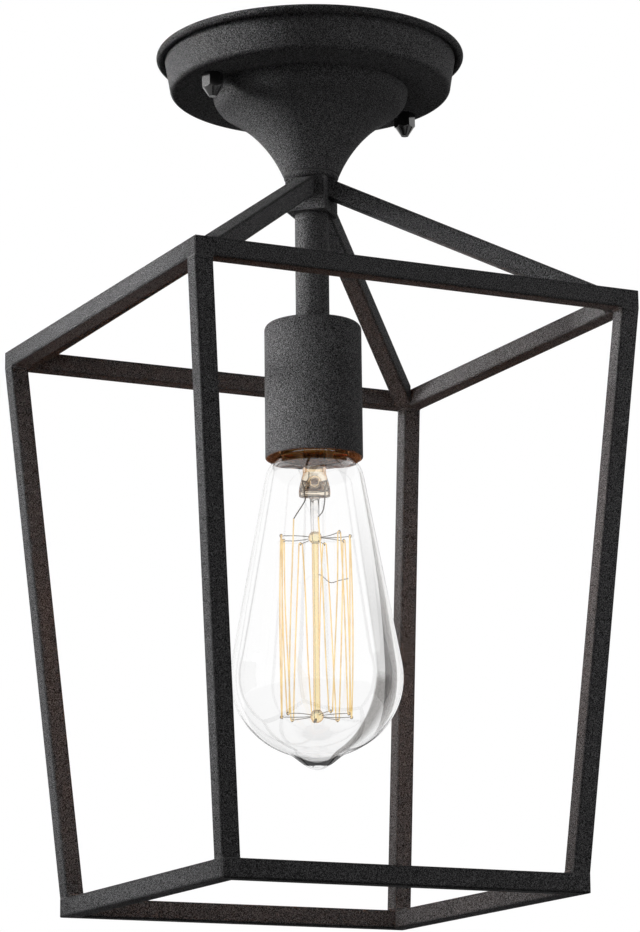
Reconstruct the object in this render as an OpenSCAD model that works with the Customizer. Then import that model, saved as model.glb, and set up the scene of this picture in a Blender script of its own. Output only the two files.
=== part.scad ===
// Porch ceiling lantern: a short-stem ceiling light with an open, tapered square cage.
// Everything hangs from the ceiling plane z = 0, with +Z up and the stem on the Z axis.
// The cage's four sides face -Y (front), +X (right), +Y (back) and -X (left).

/* [Cage] */
// Outer width of the top ring
cage_top_w = 178; // [140:1:240]
// Outer width of the bottom ring
cage_bottom_w = 144; // [110:1:220]
// Height from the bottom ring's underside to the top ring's upper face
cage_h = 219; // [200:1:300]
// Side of the square bars
bar_w = 7; // [5:0.5:9]
// Radius on the long edges of the square bars
bar_edge_r = 0.7; // [0.3:0.1:1.2]
// Height of the hub's top above the top ring's upper face
roof_rise = 55; // [40:1:70]
// Side of the square hub block
hub_w = 15.5; // [13:0.5:18]
// Height of the hub block
hub_h = 13; // [10:0.5:16]

/* [Canopy] */
// Depth of the pan below the ceiling
pan_depth = 15.6; // [12:0.2:24]
// Gap between the crossbar's ends and the pan's wall
canopy_gap = 3.7; // [2:0.1:8]
// How far the pan's wall leans in from the ceiling to its lower edge
wall_lean = 2; // [0.5:0.1:3]
// Bend radius between the pan's wall and its face
pan_corner_r = 1.8; // [1.2:0.1:4]
// Diameter of the rolled bead round the rim
rim_bead_d = 3.1; // [2:0.1:5]
// Sheet thickness of pan and bell
sheet_t = 0.8; // [0.6:0.1:1.2]
// Gap between the bell's side and the cap nuts
bell_gap = 3.26; // [2:0.02:5]
// How far the pan's face reaches in over the bell's rim
pan_lip = 2.5; // [1:0.1:4]
// Radius of the bell's round shoulder
shoulder_r = 8.4; // [6:0.1:10]
// Steepest slope of the bell, measured from the vertical
bell_slope = 60; // [50:1:65]
// Height of the bell
bell_h = 35; // [30:0.5:45]
// Diameter of the bell's neck
neck_d = 20.8; // [20:0.1:24]
// Radius on the neck's lower edge
neck_edge_r = 1.6; // [0.8:0.1:2]
// Thickness of the neck's floor
neck_floor_t = 1.5; // [1:0.1:3]
// Turn of the canopy and its fixings from the cage's front
canopy_turn = 8.5; // [0:0.5:12]

/* [Canopy fixings] */
// Distance between the two canopy studs
stud_spacing = 88.9; // [86:0.1:94]
// Diameter of the studs
stud_d = 4; // [3:0.1:5]
// Length of stud inside each cap nut
stud_grip = 5.5; // [4:0.5:6.5]
// Width across flats of cap nuts and stud lock nuts
nut_flats = 7; // [6:0.1:8]
// Height of a cap nut's hexagon
cap_hex_h = 5.8; // [5:0.1:7]
// Whole height of a cap nut
cap_nut_h = 9; // [8.5:0.1:12]
// Diameter of a cap nut's tip
cap_tip_d = 2.8; // [2:0.1:4]
// Turn of the left cap nut's hexagon
left_nut_turn = 41; // [0:1:60]
// Turn of the right cap nut's hexagon
right_nut_turn = 20; // [0:1:60]
// Height of the stud lock nuts
stud_lock_h = 2.5; // [2:0.1:4]

/* [Mounting crossbar] */
// Length of crossbar beyond each stud
bar_end_l = 6.55; // [5:0.05:10]
// Width of the crossbar
crossbar_w = 24; // [22:1:28]
// Thickness of the crossbar
crossbar_t = 1.6; // [1.2:0.1:2.5]
// Distance between the ceiling box's two screws
box_spacing = 69.85; // [66:0.05:74]
// Width of the box screw slots
slot_w = 4.4; // [4:0.1:5]
// Length of the box screw slots
slot_l = 10.4; // [8:0.1:12]
// Diameter of the crossbar's centre hole
centre_hole_d = 10.2; // [8:0.1:12]
// Diameter of the ground screw
ground_screw_d = 4; // [3:0.1:4.5]
// Diameter of the ground screw's head
ground_head_d = 7.6; // [6.5:0.1:9]
// Height of the ground screw's head
ground_head_h = 2.6; // [2:0.1:3.5]
// Width of the ground screw's slot
ground_slot_w = 1; // [0.6:0.1:1.4]
// Depth of the ground screw's slot
ground_slot_h = 1.2; // [0.8:0.1:1.6]
// Diameter of the bare ground lead
ground_lead_d = 1.6; // [1:0.1:2]
// Length of the ground lead's straight run
ground_lead_l = 28; // [15:1:29]

/* [Stem] */
// Wall of the stem tube
stem_wall = 1.3; // [1:0.1:2.5]
// Length of the stem tube
stem_l = 43; // [40:1:80]
// Thread diameter of the hollow nipples
nipple_d = 10; // [9.4:0.1:10.4]
// Bore of the nipples
nipple_bore_d = 8; // [7.4:0.1:8.4]
// Length of nipple inside each end of the stem
nipple_grip = 12; // [8:0.5:16]
// Width across flats of the nipple lock nuts
lock_flats = 14; // [13:0.1:15]
// Height of the nipple lock nuts
lock_h = 3; // [2.5:0.1:4]
// Length of the upper nipple above its lock nut
nipple_end_l = 1.9; // [1:0.1:3]
// Gap round the washer in the bell
washer_gap = 0.6; // [0.3:0.1:1.5]
// Thickness of that washer
washer_t = 1.2; // [0.8:0.1:1.5]

/* [Socket cup and lampholder] */
// Gap between the lampholder and the cup's wall
cup_gap = 1.75; // [1:0.05:4]
// Length of cup below the lampholder
cup_lip = 6.1; // [5:0.1:7]
// Sheet thickness of the cup
cup_t = 1; // [0.6:0.1:1.2]
// Radius on the cup's upper edge
cup_edge_r = 2.5; // [1.5:0.1:4]
// Wall of the lampholder round the screw shell
holder_wall = 1.85; // [1.5:0.05:2.5]
// Depth of nipple screwed into the lampholder
holder_grip = 8; // [6:0.5:9]
// Height of the wire chamber
chamber_h = 4; // [3.5:0.1:4.5]
// Thickness of the floor between wire chamber and screw shell
holder_floor_t = 4.5; // [3:0.1:5]
// Depth of the lampholder's socket below that floor
socket_depth = 25; // [24:0.1:25.5]
// Sheet thickness of the screw shell and the contacts
contact_t = 0.4; // [0.3:0.05:0.5]
// Height of the centre contact's button
contact_button_h = 1.5; // [1:0.1:1.8]
// Distance of the shell's rivet from the axis
shell_rivet_y = 9; // [8.5:0.1:9.5]
// Diameter of the rivets
rivet_d = 2.5; // [2:0.1:3]
// Width of the terminal plates in the wire chamber
plate_w = 3; // [2.4:0.1:3.4]
// Diameter of the centre contact's disc
leaf_d = 9; // [8:0.1:10]
// Diameter of the contact button where it leaves the disc
button_d = 8; // [6:0.1:8]

/* [Leads] */
// Diameter of an insulated lead
lead_d = 2.2; // [1.8:0.1:2.4]
// Diameter of a lead's bare strands
strand_d = 1.2; // [0.8:0.1:1.4]
// Distance of each lead from the axis
lead_y = 2.2; // [1.6:0.1:2.4]
// Radius of each lead's bend in the bell
lead_bend_r = 14; // [10:0.5:16]
// Angle of that bend
lead_bend = 50; // [40:1:55]
// Length of each lead's straight run after the bend
lead_run_l = 26; // [20:1:28]
// Length of bare strands at each lead's free end
lead_bare_l = 9; // [5:0.5:10]

/* [Bulb] */
// Largest diameter of the glass
bulb_d = 64; // [60:0.5:66]
// Length from the end contact to the glass tip
bulb_length = 146; // [140:1:155]
// Gap between the glass neck and the base
neck_gap = 0.25; // [0.15:0.05:0.5]
// Length of glass neck inside the base
neck_grip = 6; // [4:0.1:7]
// Radius of the glass shoulder below the neck
glass_shoulder_r = 11.3; // [10:0.1:12]
// Slope at the top of that shoulder, from the vertical
glass_shoulder_slope = 62; // [55:1:70]
// Depth of that shoulder's centre below the base rim
shoulder_drop = 11.95; // [11:0.05:14]
// Height of the belly's round bottom
belly_low_h = 29.7; // [26:0.1:32]
// Height of the sealed tip
tip_h = 4.3; // [2:0.1:6]
// Diameter of the sealed tip where it leaves the belly
tip_base_d = 22; // [16:0.5:26]
// Wall of the glass
glass_t = 0.7; // [0.5:0.1:1]
// Outer diameter of the screw base
base_d = 26.3; // [26:0.05:26.4]
// Height of the whole base with its end contact
base_h = 26.5; // [26:0.1:28]
// Height of the base's taper over the thread
base_taper_h = 3; // [2:0.1:4]
// Diameter of the base's upper end
base_top_d = 21; // [18:0.5:23]
// Sheet thickness of the base
base_t = 0.3; // [0.2:0.05:0.4]
// Height of the black insulator
insulator_h = 3.5; // [3:0.1:5]
// Diameter of the end contact
end_contact_d = 9.6; // [8:0.1:11]
// Height of the end contact
end_contact_h = 1.5; // [1:0.1:2]
// Travel of the bulb for one turn of its thread
thread_pitch = 3.629; // [3:0.001:4]

/* [Filament] */
// Diameter of the glass mount's tube
mount_d = 9.8; // [8:0.1:11]
// Depth of the press's lower end below the base rim
press_drop = 17.7; // [16:0.1:20]
// Height of the flat press
press_h = 8.5; // [6:0.1:10]
// Width of the flat press
press_w = 11.6; // [11.2:0.1:13]
// Thickness of the flat press
press_t = 4.2; // [3.8:0.1:5]
// Diameter of the glass rod
rod_d = 3.5; // [2.5:0.1:4]
// Diameter of the two glass beads
bead_d = 5; // [4.4:0.1:6]
// Depth of the upper bead below the base rim
upper_bead_drop = 32.8; // [30:0.1:36]
// Distance between the two beads
bead_gap = 66.8; // [60:0.1:70]
// Radius of the filament cage
filament_r = 13; // [10:0.5:14]
// Number of lower hooks
hooks = 8; // [5:1:10]
// Angle that the filament goes round
filament_arc = 324; // [290:1:330]
// Turn of the filament's first end
filament_turn = 246; // [200:1:270]
// Height of the filament's two ends above the upper bead
filament_end_h = 5; // [3:0.5:8]
// Turn of the flat press
press_turn = -26; // [-50:1:0]
// Angle from the middle of a hook to the strand on each side of it
hook_turn = 3; // [2:0.5:4]
// Diameter of a filament strand
filament_d = 0.5; // [0.4:0.05:0.8]
// Diameter of the support wires
support_d = 0.5; // [0.4:0.05:0.8]
// Diameter of the lead wires in the glass
glass_lead_d = 0.7; // [0.5:0.05:1]
// Length of lead wire sealed in the press
glass_lead_grip = 5; // [3:0.5:6]

/* [Hidden] */

// Clearances
hole_gap = 0.3;     // around a stud or nipple that passes through a sheet, on the diameter
thread_gap = 0.1;   // between a thread and its nut, shell or tube, on the diameter
glass_gap = 0.2;    // between the glass neck and the mount's flare, on the diameter
wire_gap = 0.1;     // between the filament and the wires that hold it
terminal_gap = 0.6; // between the two terminal plates
leaf_gap = 1.5;     // between the centre contact's disc and the screw shell
chamber_gap = 1.5;  // between the shell's rivet and the wire chamber's wall
jacket_gap = 0.2;   // between a lead's jacket and the wire chamber below it
post_inset = 0.05;  // from a ring's outer face back to a post's
over = 1;           // how far a cutting solid reaches past what it cuts

// Levels below the ceiling
bell_top_z = -pan_depth;
hub_top_z = bell_top_z - bell_h;
hub_bottom_z = hub_top_z - hub_h;
cage_top_z = hub_top_z - roof_rise;
top_ring_bottom_z = cage_top_z - bar_w;
cage_bottom_z = cage_top_z - cage_h;
bottom_ring_top_z = cage_bottom_z + bar_w;
cup_top_z = hub_bottom_z - stem_l;
cup_nut_top_z = cup_top_z - cup_t;
holder_top_z = cup_nut_top_z - lock_h;
chamber_top_z = holder_top_z - holder_grip;
chamber_floor_z = chamber_top_z - chamber_h;
socket_top_z = chamber_floor_z - holder_floor_t;
holder_bottom_z = socket_top_z - socket_depth;
cup_bottom_z = holder_bottom_z - cup_lip;
washer_bottom_z = hub_top_z + neck_floor_t;
bell_nut_bottom_z = washer_bottom_z + washer_t;
nipple_top_z = bell_nut_bottom_z + lock_h + nipple_end_l;
bulb_top_z = socket_top_z - contact_t - contact_button_h;
bulb_tip_z = bulb_top_z - bulb_length;
insulator_top_z = bulb_top_z - end_contact_h;
base_taper_z = insulator_top_z - insulator_h;
thread_top_z = base_taper_z - base_taper_h;
base_rim_z = bulb_top_z - base_h;
belly_z = bulb_tip_z + tip_h + belly_low_h;
glass_top_z = base_rim_z + neck_grip;
press_bottom_z = base_rim_z - press_drop;
upper_bead_z = base_rim_z - upper_bead_drop;
lower_bead_z = upper_bead_z - bead_gap;

// Radii and widths that follow from others
stud_r = stud_spacing / 2;
nut_corner_d = nut_flats / cos(30);
shoulder_d = stud_spacing - nut_corner_d - 2 * bell_gap;
pan_hole_d = shoulder_d - 2 * pan_lip;
crossbar_l = stud_spacing + 2 * bar_end_l;
pan_top_d = crossbar_l + 2 * (canopy_gap + sheet_t);
pan_bottom_d = pan_top_d - 2 * wall_lean;
washer_d = neck_d - 2 * (sheet_t + washer_gap);
nipple_hole_d = nipple_d + hole_gap;
nipple_thread_d = nipple_d + thread_gap;
stem_d = nipple_thread_d + 2 * stem_wall;
shell_d = base_d + thread_gap + 2 * contact_t;
socket_d = shell_d + thread_gap;
lampholder_d = socket_d + 2 * holder_wall;
cup_d = lampholder_d + 2 * (cup_gap + cup_t);
glass_neck_d = base_d - 2 * (base_t + neck_gap);
ring_inner_w = cage_top_w - 2 * bar_w;
roof_reach = ring_inner_w / sqrt(2);
roof_slope = atan(roof_rise / (roof_reach - hub_w / 2));
wide_shape = cage_top_w * 2;

// Smoothness
$fn = 96;
arc_steps = 12;

// Colours
paint = [0.06, 0.06, 0.065];
zinc = [0.72, 0.72, 0.7];
brass = [0.78, 0.6, 0.28];
copper = [0.8, 0.45, 0.3];
clear_glass = [0.85, 0.93, 0.95, 0.35];

// ---------- shared shapes ----------

// Points on an arc: centre c, radius r, from angle a to angle b.
function arc(c, r, a, b, steps = arc_steps) =
    [for (i = [0:steps]) c + r * [cos(a + (b - a) * i / steps), sin(a + (b - a) * i / steps)]];

// A straight round wire from point a to point b.
module wire(a, b, d) {
    v = b - a;
    translate(a)
        rotate([0, acos(v.z / norm(v)), atan2(v.y, v.x)])
            cylinder(h = norm(v), d = d);
}

// A tube or a ring from level low to level high.
module ring(low, high, outer_d, inner_d) {
    translate([0, 0, low])
        difference() {
            cylinder(h = high - low, d = outer_d);
            translate([0, 0, -over])
                cylinder(h = high - low + 2 * over, d = inner_d);
        }
}

// A hexagonal nut from level low upwards.
module hex_nut(low, h, flats, bore_d) {
    translate([0, 0, low])
        difference() {
            cylinder(h = h, d = flats / cos(30), $fn = 6);
            translate([0, 0, -over])
                cylinder(h = h + 2 * over, d = bore_d);
        }
}

// A square with rounded corners.
module round_square(w, r) {
    inner = w - 2 * r;
    square([inner, w], center = true);
    square([w, inner], center = true);
    for (x = [-1, 1], y = [-1, 1])
        translate([x, y] * inner / 2)
            circle(r = r, $fn = 32);
}

module bar_section() {
    round_square(bar_w, bar_edge_r);
}

// ---------- cage ----------

// A ring's front rail, mitred at both corners, from level low upwards. Its ends are square
// from level square_low for half a bar's height, where the posts are welded on and ground flush.
module rail(ring_w, low, square_low) {
    half = ring_w / 2;
    intersection() {
        union() {
            translate([0, bar_w / 2 - half, low + bar_w / 2])
                rotate([90, 0, 90])
                    linear_extrude(height = ring_w, center = true) bar_section();
            for (x = [-half, half - bar_w])
                translate([x, -half, square_low])
                    cube([bar_w, bar_w, bar_w / 2]);
        }
        translate([0, 0, low - over])
            linear_extrude(height = bar_w + 2 * over)
                intersection() {
                    polygon([[0, 0], [-half, -half], [half, -half]]);
                    round_square(ring_w, bar_edge_r);
                }
    }
}

module top_rail(side) {
    color(paint) rotate(90 * side) rail(cage_top_w, top_ring_bottom_z, top_ring_bottom_z);
}

module bottom_rail(side) {
    color(paint)
        rotate(90 * side)
            rail(cage_bottom_w, cage_bottom_z, cage_bottom_z + bar_w / 2);
}

// The post of the front right corner leans in from ring to ring and is cut level at both.
module post(corner) {
    top = (cage_top_w - bar_w) / 2 - post_inset;
    foot = (cage_bottom_w - bar_w) / 2 - post_inset;
    a = [foot, -foot, bottom_ring_top_z];
    v = [top, -top, top_ring_bottom_z] - a;
    color(paint)
        rotate(90 * corner)
            intersection() {
                translate(a)
                    rotate([-asin(v.y / norm(v)), atan2(v.x, v.z), 0])
                        translate([0, 0, -bar_w])
                            linear_extrude(height = norm(v) + 2 * bar_w) bar_section();
                translate([-cage_top_w, -cage_top_w, bottom_ring_top_z])
                    cube([wide_shape, wide_shape, v.z]);
            }
}

// A roof bar runs from the hub's face down into the top ring's inner corner.
module roof_bar(corner) {
    color(paint)
        rotate(90 * corner - 45)
            intersection() {
                translate([hub_w / 2, 0, hub_top_z])
                    rotate([0, roof_slope, 0])
                        translate([0, 0, -bar_w / 2])
                            rotate([90, 0, 90])
                                linear_extrude(height = wide_shape, center = true) bar_section();
                translate([hub_w / 2, -bar_w, top_ring_bottom_z])
                    cube([roof_reach, 2 * bar_w, roof_rise + 2 * bar_w]);
                rotate(45)
                    translate([-ring_inner_w / 2, -ring_inner_w / 2, top_ring_bottom_z])
                        cube([ring_inner_w, ring_inner_w, roof_rise + 2 * bar_w]);
            }
}

// The hub block's four faces look along the cage's diagonals.
module cage_hub() {
    color(paint)
        difference() {
            rotate(45)
                translate([-hub_w / 2, -hub_w / 2, hub_bottom_z])
                    cube([hub_w, hub_w, hub_h]);
            translate([0, 0, hub_bottom_z - over])
                cylinder(h = hub_h + 2 * over, d = nipple_hole_d);
        }
}

// ---------- canopy ----------

// The pan's outline as a solid dish, with its wall and face moved inwards by inset.
module pan_dish(inset) {
    wall_r = pan_bottom_d / 2 - inset;
    bend_r = pan_corner_r - inset;
    face_z = -pan_depth + inset;
    polygon(concat(
        [[0, 0], [pan_top_d / 2 - inset, 0]],
        arc([wall_r - bend_r, face_z + bend_r], bend_r, 0, -90),
        [[0, face_z]]
    ));
}

// The spun pan, with a flat rim that bears on the ceiling and curls into a bead.
module canopy_pan() {
    bead_r = rim_bead_d / 2;
    bead_drop = 0.1;
    color(paint)
        difference() {
            union() {
                rotate_extrude()
                    difference() {
                        pan_dish(0);
                        pan_dish(sheet_t);
                        translate([-over, -pan_depth - over])
                            square([pan_hole_d / 2 + over, pan_depth]);
                    }
                ring(-bead_r, 0, pan_top_d + 2 * bead_r, pan_top_d - sheet_t);
                rotate_extrude()
                    translate([pan_top_d / 2 + bead_r, -bead_r - bead_drop])
                        circle(r = bead_r);
            }
            rotate(canopy_turn)
                for (side = [-1, 1])
                    translate([side * stud_r, 0, -pan_depth - over])
                        cylinder(h = pan_depth, d = stud_d + 2 * hole_gap);
        }
}

// The bell's side is a round shoulder that runs tangent into a wide flare down to the neck.
function bell_side(inset) =
    let (
        shoulder_c = [shoulder_d / 2 - shoulder_r, bell_top_z],
        joint = shoulder_c + shoulder_r * [cos(bell_slope), -sin(bell_slope)],
        drop = joint.y - (hub_top_z + neck_edge_r),
        narrowing = joint.x - neck_d / 2,
        end_slope = 2 * atan(narrowing / drop) - bell_slope,
        flare_r = drop / (sin(bell_slope) - sin(end_slope)),
        flare_c = joint + flare_r * [cos(bell_slope), -sin(bell_slope)]
    )
    concat(
        arc(shoulder_c, shoulder_r - inset, 0, -bell_slope),
        arc(flare_c, flare_r + inset, 180 - bell_slope, 180 - end_slope, 2 * arc_steps)
    );

module canopy_bell() {
    edge_c = [neck_d / 2 - neck_edge_r, hub_top_z + neck_edge_r];
    color(paint)
        difference() {
            rotate_extrude()
                polygon(concat(
                    [[0, bell_top_z]],
                    bell_side(0),
                    arc(edge_c, neck_edge_r, 0, -90),
                    [[0, hub_top_z]]
                ));
            intersection() {
                rotate_extrude()
                    polygon(concat(
                        [[0, bell_top_z + over], [shoulder_d / 2 - sheet_t, bell_top_z + over]],
                        bell_side(sheet_t),
                        [[neck_d / 2 - sheet_t, hub_top_z], [0, hub_top_z]]
                    ));
                translate([0, 0, washer_bottom_z])
                    cylinder(h = bell_h + over, d = shoulder_d);
            }
            translate([0, 0, hub_top_z - over])
                cylinder(h = bell_h, d = nipple_hole_d);
        }
}

// A cap nut: a chamfered hexagon that tapers to a small flat tip, bored for its stud.
module cap_nut(side, turn) {
    corner_r = nut_corner_d / 2;
    chamfer = corner_r - nut_flats / 2;
    color(paint)
        rotate(canopy_turn)
            translate([side * stud_r, 0, -pan_depth])
                rotate(turn)
                    difference() {
                        intersection() {
                            translate([0, 0, -cap_nut_h])
                                cylinder(h = cap_nut_h, r = corner_r, $fn = 6);
                            rotate_extrude()
                                polygon([
                                    [0, 0],
                                    [nut_flats / 2, 0],
                                    [corner_r, -chamfer],
                                    [corner_r, -cap_hex_h + chamfer],
                                    [nut_flats / 2, -cap_hex_h],
                                    [cap_tip_d / 2, -cap_nut_h],
                                    [0, -cap_nut_h],
                                ]);
                        }
                        translate([0, 0, -stud_grip - over])
                            cylinder(h = stud_grip + 2 * over, d = stud_d + thread_gap);
                    }
}

module canopy_studs() {
    stud_l = pan_depth + stud_grip;
    color(zinc)
        rotate(canopy_turn)
            for (side = [-1, 1])
                translate([side * stud_r, 0, -stud_l])
                    cylinder(h = stud_l, d = stud_d);
}

module stud_lock_nuts() {
    color(zinc)
        rotate(canopy_turn)
            for (side = [-1, 1])
                translate([side * stud_r, 0, 0])
                    hex_nut(-crossbar_t - stud_lock_h, stud_lock_h, nut_flats, stud_d + thread_gap);
}

// ---------- mounting crossbar ----------

ground_at = [16, 6.5];    // the ground screw's place on the crossbar

// One slot for a box screw, on the line between the box's two screws.
module box_slot() {
    play = slot_l - slot_w;
    translate([box_spacing / 2, 0]) {
        square([play, slot_w], center = true);
        for (end = [-1, 1])
            translate([end * play / 2, 0])
                circle(d = slot_w);
    }
}

module mounting_crossbar() {
    end_r = crossbar_w / 2;
    color(zinc)
        translate([0, 0, -crossbar_t])
            linear_extrude(height = crossbar_t)
                difference() {
                    rotate(canopy_turn)
                        difference() {
                            union() {
                                square([crossbar_l - 2 * end_r, crossbar_w], center = true);
                                for (side = [-1, 1])
                                    translate([side * (crossbar_l / 2 - end_r), 0])
                                        circle(r = end_r);
                            }
                            for (side = [-1, 1])
                                translate([side * stud_r, 0])
                                    circle(d = stud_d + thread_gap);
                            translate(ground_at)
                                circle(d = ground_screw_d + thread_gap);
                        }
                    circle(d = centre_hole_d);
                    for (turn = [0, 180])
                        rotate(turn) box_slot();
                }
}

module ground_screw() {
    shank_l = crossbar_t + ground_lead_d;
    color([0.1, 0.45, 0.2])
        rotate(canopy_turn)
            translate([ground_at.x, ground_at.y, -shank_l]) {
                cylinder(h = shank_l, d = ground_screw_d);
                translate([0, 0, -ground_head_h])
                    difference() {
                        cylinder(h = ground_head_h, d = ground_head_d);
                        translate([-ground_head_d, -ground_slot_w / 2, -over])
                            cube([2 * ground_head_d, ground_slot_w, over + ground_slot_h]);
                    }
            }
}

// The bare ground lead hooks round its screw, between the crossbar and the head.
module ground_lead() {
    hook_r = (ground_screw_d + ground_lead_d + thread_gap) / 2;
    color(copper)
        rotate(canopy_turn)
            translate([ground_at.x, ground_at.y, -crossbar_t - ground_lead_d / 2]) {
                rotate(90)
                    rotate_extrude(angle = 270)
                        translate([hook_r, 0]) circle(d = ground_lead_d, $fn = 32);
                translate([0, hook_r, 0])
                    rotate([0, 90, 0]) cylinder(h = ground_lead_l, d = ground_lead_d, $fn = 32);
            }
}

// ---------- stem and cup ----------

module upper_nipple() {
    color(zinc) ring(hub_bottom_z - nipple_grip, nipple_top_z, nipple_d, nipple_bore_d);
}

module bell_washer() {
    color(zinc) ring(washer_bottom_z, bell_nut_bottom_z, washer_d, nipple_hole_d);
}

module bell_lock_nut() {
    color(zinc) hex_nut(bell_nut_bottom_z, lock_h, lock_flats, nipple_thread_d);
}

module stem_tube() {
    color(paint) ring(cup_top_z, hub_bottom_z, stem_d, nipple_thread_d);
}

module lower_nipple() {
    color(zinc) ring(chamber_top_z, cup_top_z + nipple_grip, nipple_d, nipple_bore_d);
}

module cup_lock_nut() {
    color(zinc) hex_nut(holder_top_z, lock_h, lock_flats, nipple_thread_d);
}

// The cup's outline as a solid, with its wall and top moved inwards by inset.
module cup_block(inset) {
    side_r = cup_d / 2 - inset;
    bend_r = cup_edge_r - inset;
    top = cup_top_z - inset;
    rotate_extrude()
        polygon(concat(
            [[0, cup_bottom_z - inset], [side_r, cup_bottom_z - inset]],
            arc([side_r - bend_r, top - bend_r], bend_r, 0, 90),
            [[0, top]]
        ));
}

module socket_cup() {
    color(paint)
        difference() {
            cup_block(0);
            cup_block(cup_t);
            translate([0, 0, cup_top_z - cup_t - over])
                cylinder(h = cup_t + 2 * over, d = nipple_hole_d);
        }
}

// ---------- lampholder ----------

chamber_d = 2 * shell_rivet_y + rivet_d + 2 * chamber_gap;
plate_low_y = -1;         // the centre terminal's edge on the neutral side of the axis
shell_setback = 1;        // from the lampholder's lower face up to the screw shell's edge

module lampholder_body() {
    color([0.32, 0.2, 0.12])
        difference() {
            translate([0, 0, holder_bottom_z])
                cylinder(h = holder_top_z - holder_bottom_z, d = lampholder_d);
            translate([0, 0, chamber_top_z])
                cylinder(h = holder_grip + over, d = nipple_thread_d);
            translate([0, 0, chamber_floor_z])
                cylinder(h = chamber_h, d = chamber_d);
            for (y = [0, -shell_rivet_y])
                translate([0, y, socket_top_z - over])
                    cylinder(h = holder_floor_t + 2 * over, d = rivet_d + thread_gap);
            translate([0, 0, holder_bottom_z - over])
                cylinder(h = socket_depth + over, d = socket_d);
        }
}

// A terminal plate on the chamber's floor, from y = low to y = high.
module terminal_plate(low, high) {
    translate([-plate_w / 2, low, chamber_floor_z])
        cube([plate_w, high - low, contact_t]);
}

module rivet(y) {
    translate([0, y, socket_top_z - contact_t])
        cylinder(h = holder_floor_t + 2 * contact_t, d = rivet_d);
}

module screw_shell() {
    wall_low = holder_bottom_z + shell_setback;
    color(brass) {
        ring(wall_low, socket_top_z, shell_d, shell_d - 2 * contact_t);
        ring(socket_top_z - contact_t, socket_top_z, shell_d, leaf_d + 2 * leaf_gap);
        rivet(-shell_rivet_y);
        terminal_plate(-shell_rivet_y - plate_w / 2, plate_low_y - terminal_gap);
    }
}

module centre_contact() {
    color(brass) {
        translate([0, 0, socket_top_z - contact_t])
            cylinder(h = contact_t, d = leaf_d);
        translate([0, 0, socket_top_z - contact_t - contact_button_h])
            cylinder(h = contact_button_h, d1 = button_d / 2, d2 = button_d);
        rivet(0);
        terminal_plate(plate_low_y, lead_y + plate_w / 2);
    }
}

// ---------- leads ----------

lead_foot_z = chamber_floor_z + contact_t;
lead_jacket_z = chamber_top_z + jacket_gap;
lead_rise = 2;            // from the nipple's end up to the start of the bend
lead_bend_z = nipple_top_z + lead_rise;
lead_run_dir = [0, sin(lead_bend), cos(lead_bend)];
lead_bend_end = [
    0,
    lead_y + lead_bend_r * (1 - cos(lead_bend)),
    lead_bend_z + lead_bend_r * sin(lead_bend),
];
lead_jacket_end = lead_bend_end + lead_run_l * lead_run_dir;

// The insulated lead on the +Y side: up through the stem, then bent out into the canopy.
// The bend is a hair thinner and reaches one degree into both straight runs.
module lead_jacket() {
    lap = 1;
    thinner = 0.02;
    wire([0, lead_y, lead_jacket_z], [0, lead_y, lead_bend_z], lead_d);
    translate([0, lead_y + lead_bend_r, lead_bend_z])
        rotate([90, 0, -90])
            rotate(-lap)
                rotate_extrude(angle = lead_bend + 2 * lap)
                    translate([lead_bend_r, 0]) circle(d = lead_d - thinner);
    wire(lead_bend_end, lead_jacket_end, lead_d);
}

module line_lead() {
    color([0.05, 0.05, 0.05]) lead_jacket();
}

module neutral_lead() {
    color([0.9, 0.9, 0.88]) rotate(180) lead_jacket();
}

module lead_tips() {
    color(copper)
        for (turn = [0, 180])
            rotate(turn) {
                wire([0, lead_y, lead_foot_z], [0, lead_y, lead_jacket_z], strand_d);
                wire(lead_jacket_end, lead_jacket_end + lead_bare_l * lead_run_dir, strand_d);
            }
}

// ---------- bulb ----------

last_corner = 2 * hooks;
strand_end_d = 1.3 * filament_d;
press_lead_x = (press_w - press_t) / 2;
insulator_step = 0.5;     // from the base's upper end in to the insulator
insulator_rim = 0.3;      // of insulator seen round the end contact
contact_taper = 0.7;      // the end contact's upper face against its lower one

module bulb_end_contact() {
    color(zinc)
        translate([0, 0, insulator_top_z])
            cylinder(h = end_contact_h, d1 = end_contact_d, d2 = end_contact_d * contact_taper);
}

module bulb_insulator() {
    color([0.05, 0.05, 0.06])
        translate([0, 0, base_taper_z])
            cylinder(
                h = insulator_h,
                d1 = base_top_d - 2 * insulator_step,
                d2 = end_contact_d + 2 * insulator_rim
            );
}

module bulb_base() {
    color(brass)
        difference() {
            rotate_extrude() base_outline(0);
            rotate_extrude() base_outline(base_t);
        }
}

module base_outline(inset) {
    polygon([
        [0, base_taper_z - inset],
        [base_top_d / 2 - inset, base_taper_z - inset],
        [base_d / 2 - inset, thread_top_z - inset / 2],
        [base_d / 2 - inset, base_rim_z - inset],
        [0, base_rim_z - inset],
    ]);
}

// The glass side from the neck down to the tip, moved inwards by inset. Its straight taper is
// the common tangent of the shoulder's circle and the belly's.
function glass_side(inset, tip) =
    let (
        belly_r = bulb_d / 2 - inset,
        low_h = belly_low_h - inset,
        shoulder_x = glass_neck_d / 2 - glass_shoulder_r * cos(glass_shoulder_slope),
        shoulder_c = [shoulder_x, base_rim_z - shoulder_drop],
        apart = shoulder_c - [0, belly_z],
        tangent_turn = acos((bulb_d / 2 - glass_shoulder_r) / norm(apart)),
        glass_slope = atan2(apart.y, apart.x) - tangent_turn
    )
    concat(
        [[glass_neck_d / 2 - inset, glass_top_z]],
        arc(shoulder_c, glass_shoulder_r - inset, glass_shoulder_slope, glass_slope),
        arc([0, belly_z], belly_r, glass_slope, 0),
        [for (i = [1:2 * arc_steps])
            let (a = 90 * i / 2 / arc_steps, x = belly_r * cos(a))
            [i == 2 * arc_steps ? 0 : x, belly_z - low_h * sin(a) - tip_bump(x) * tip]]
    );

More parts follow.
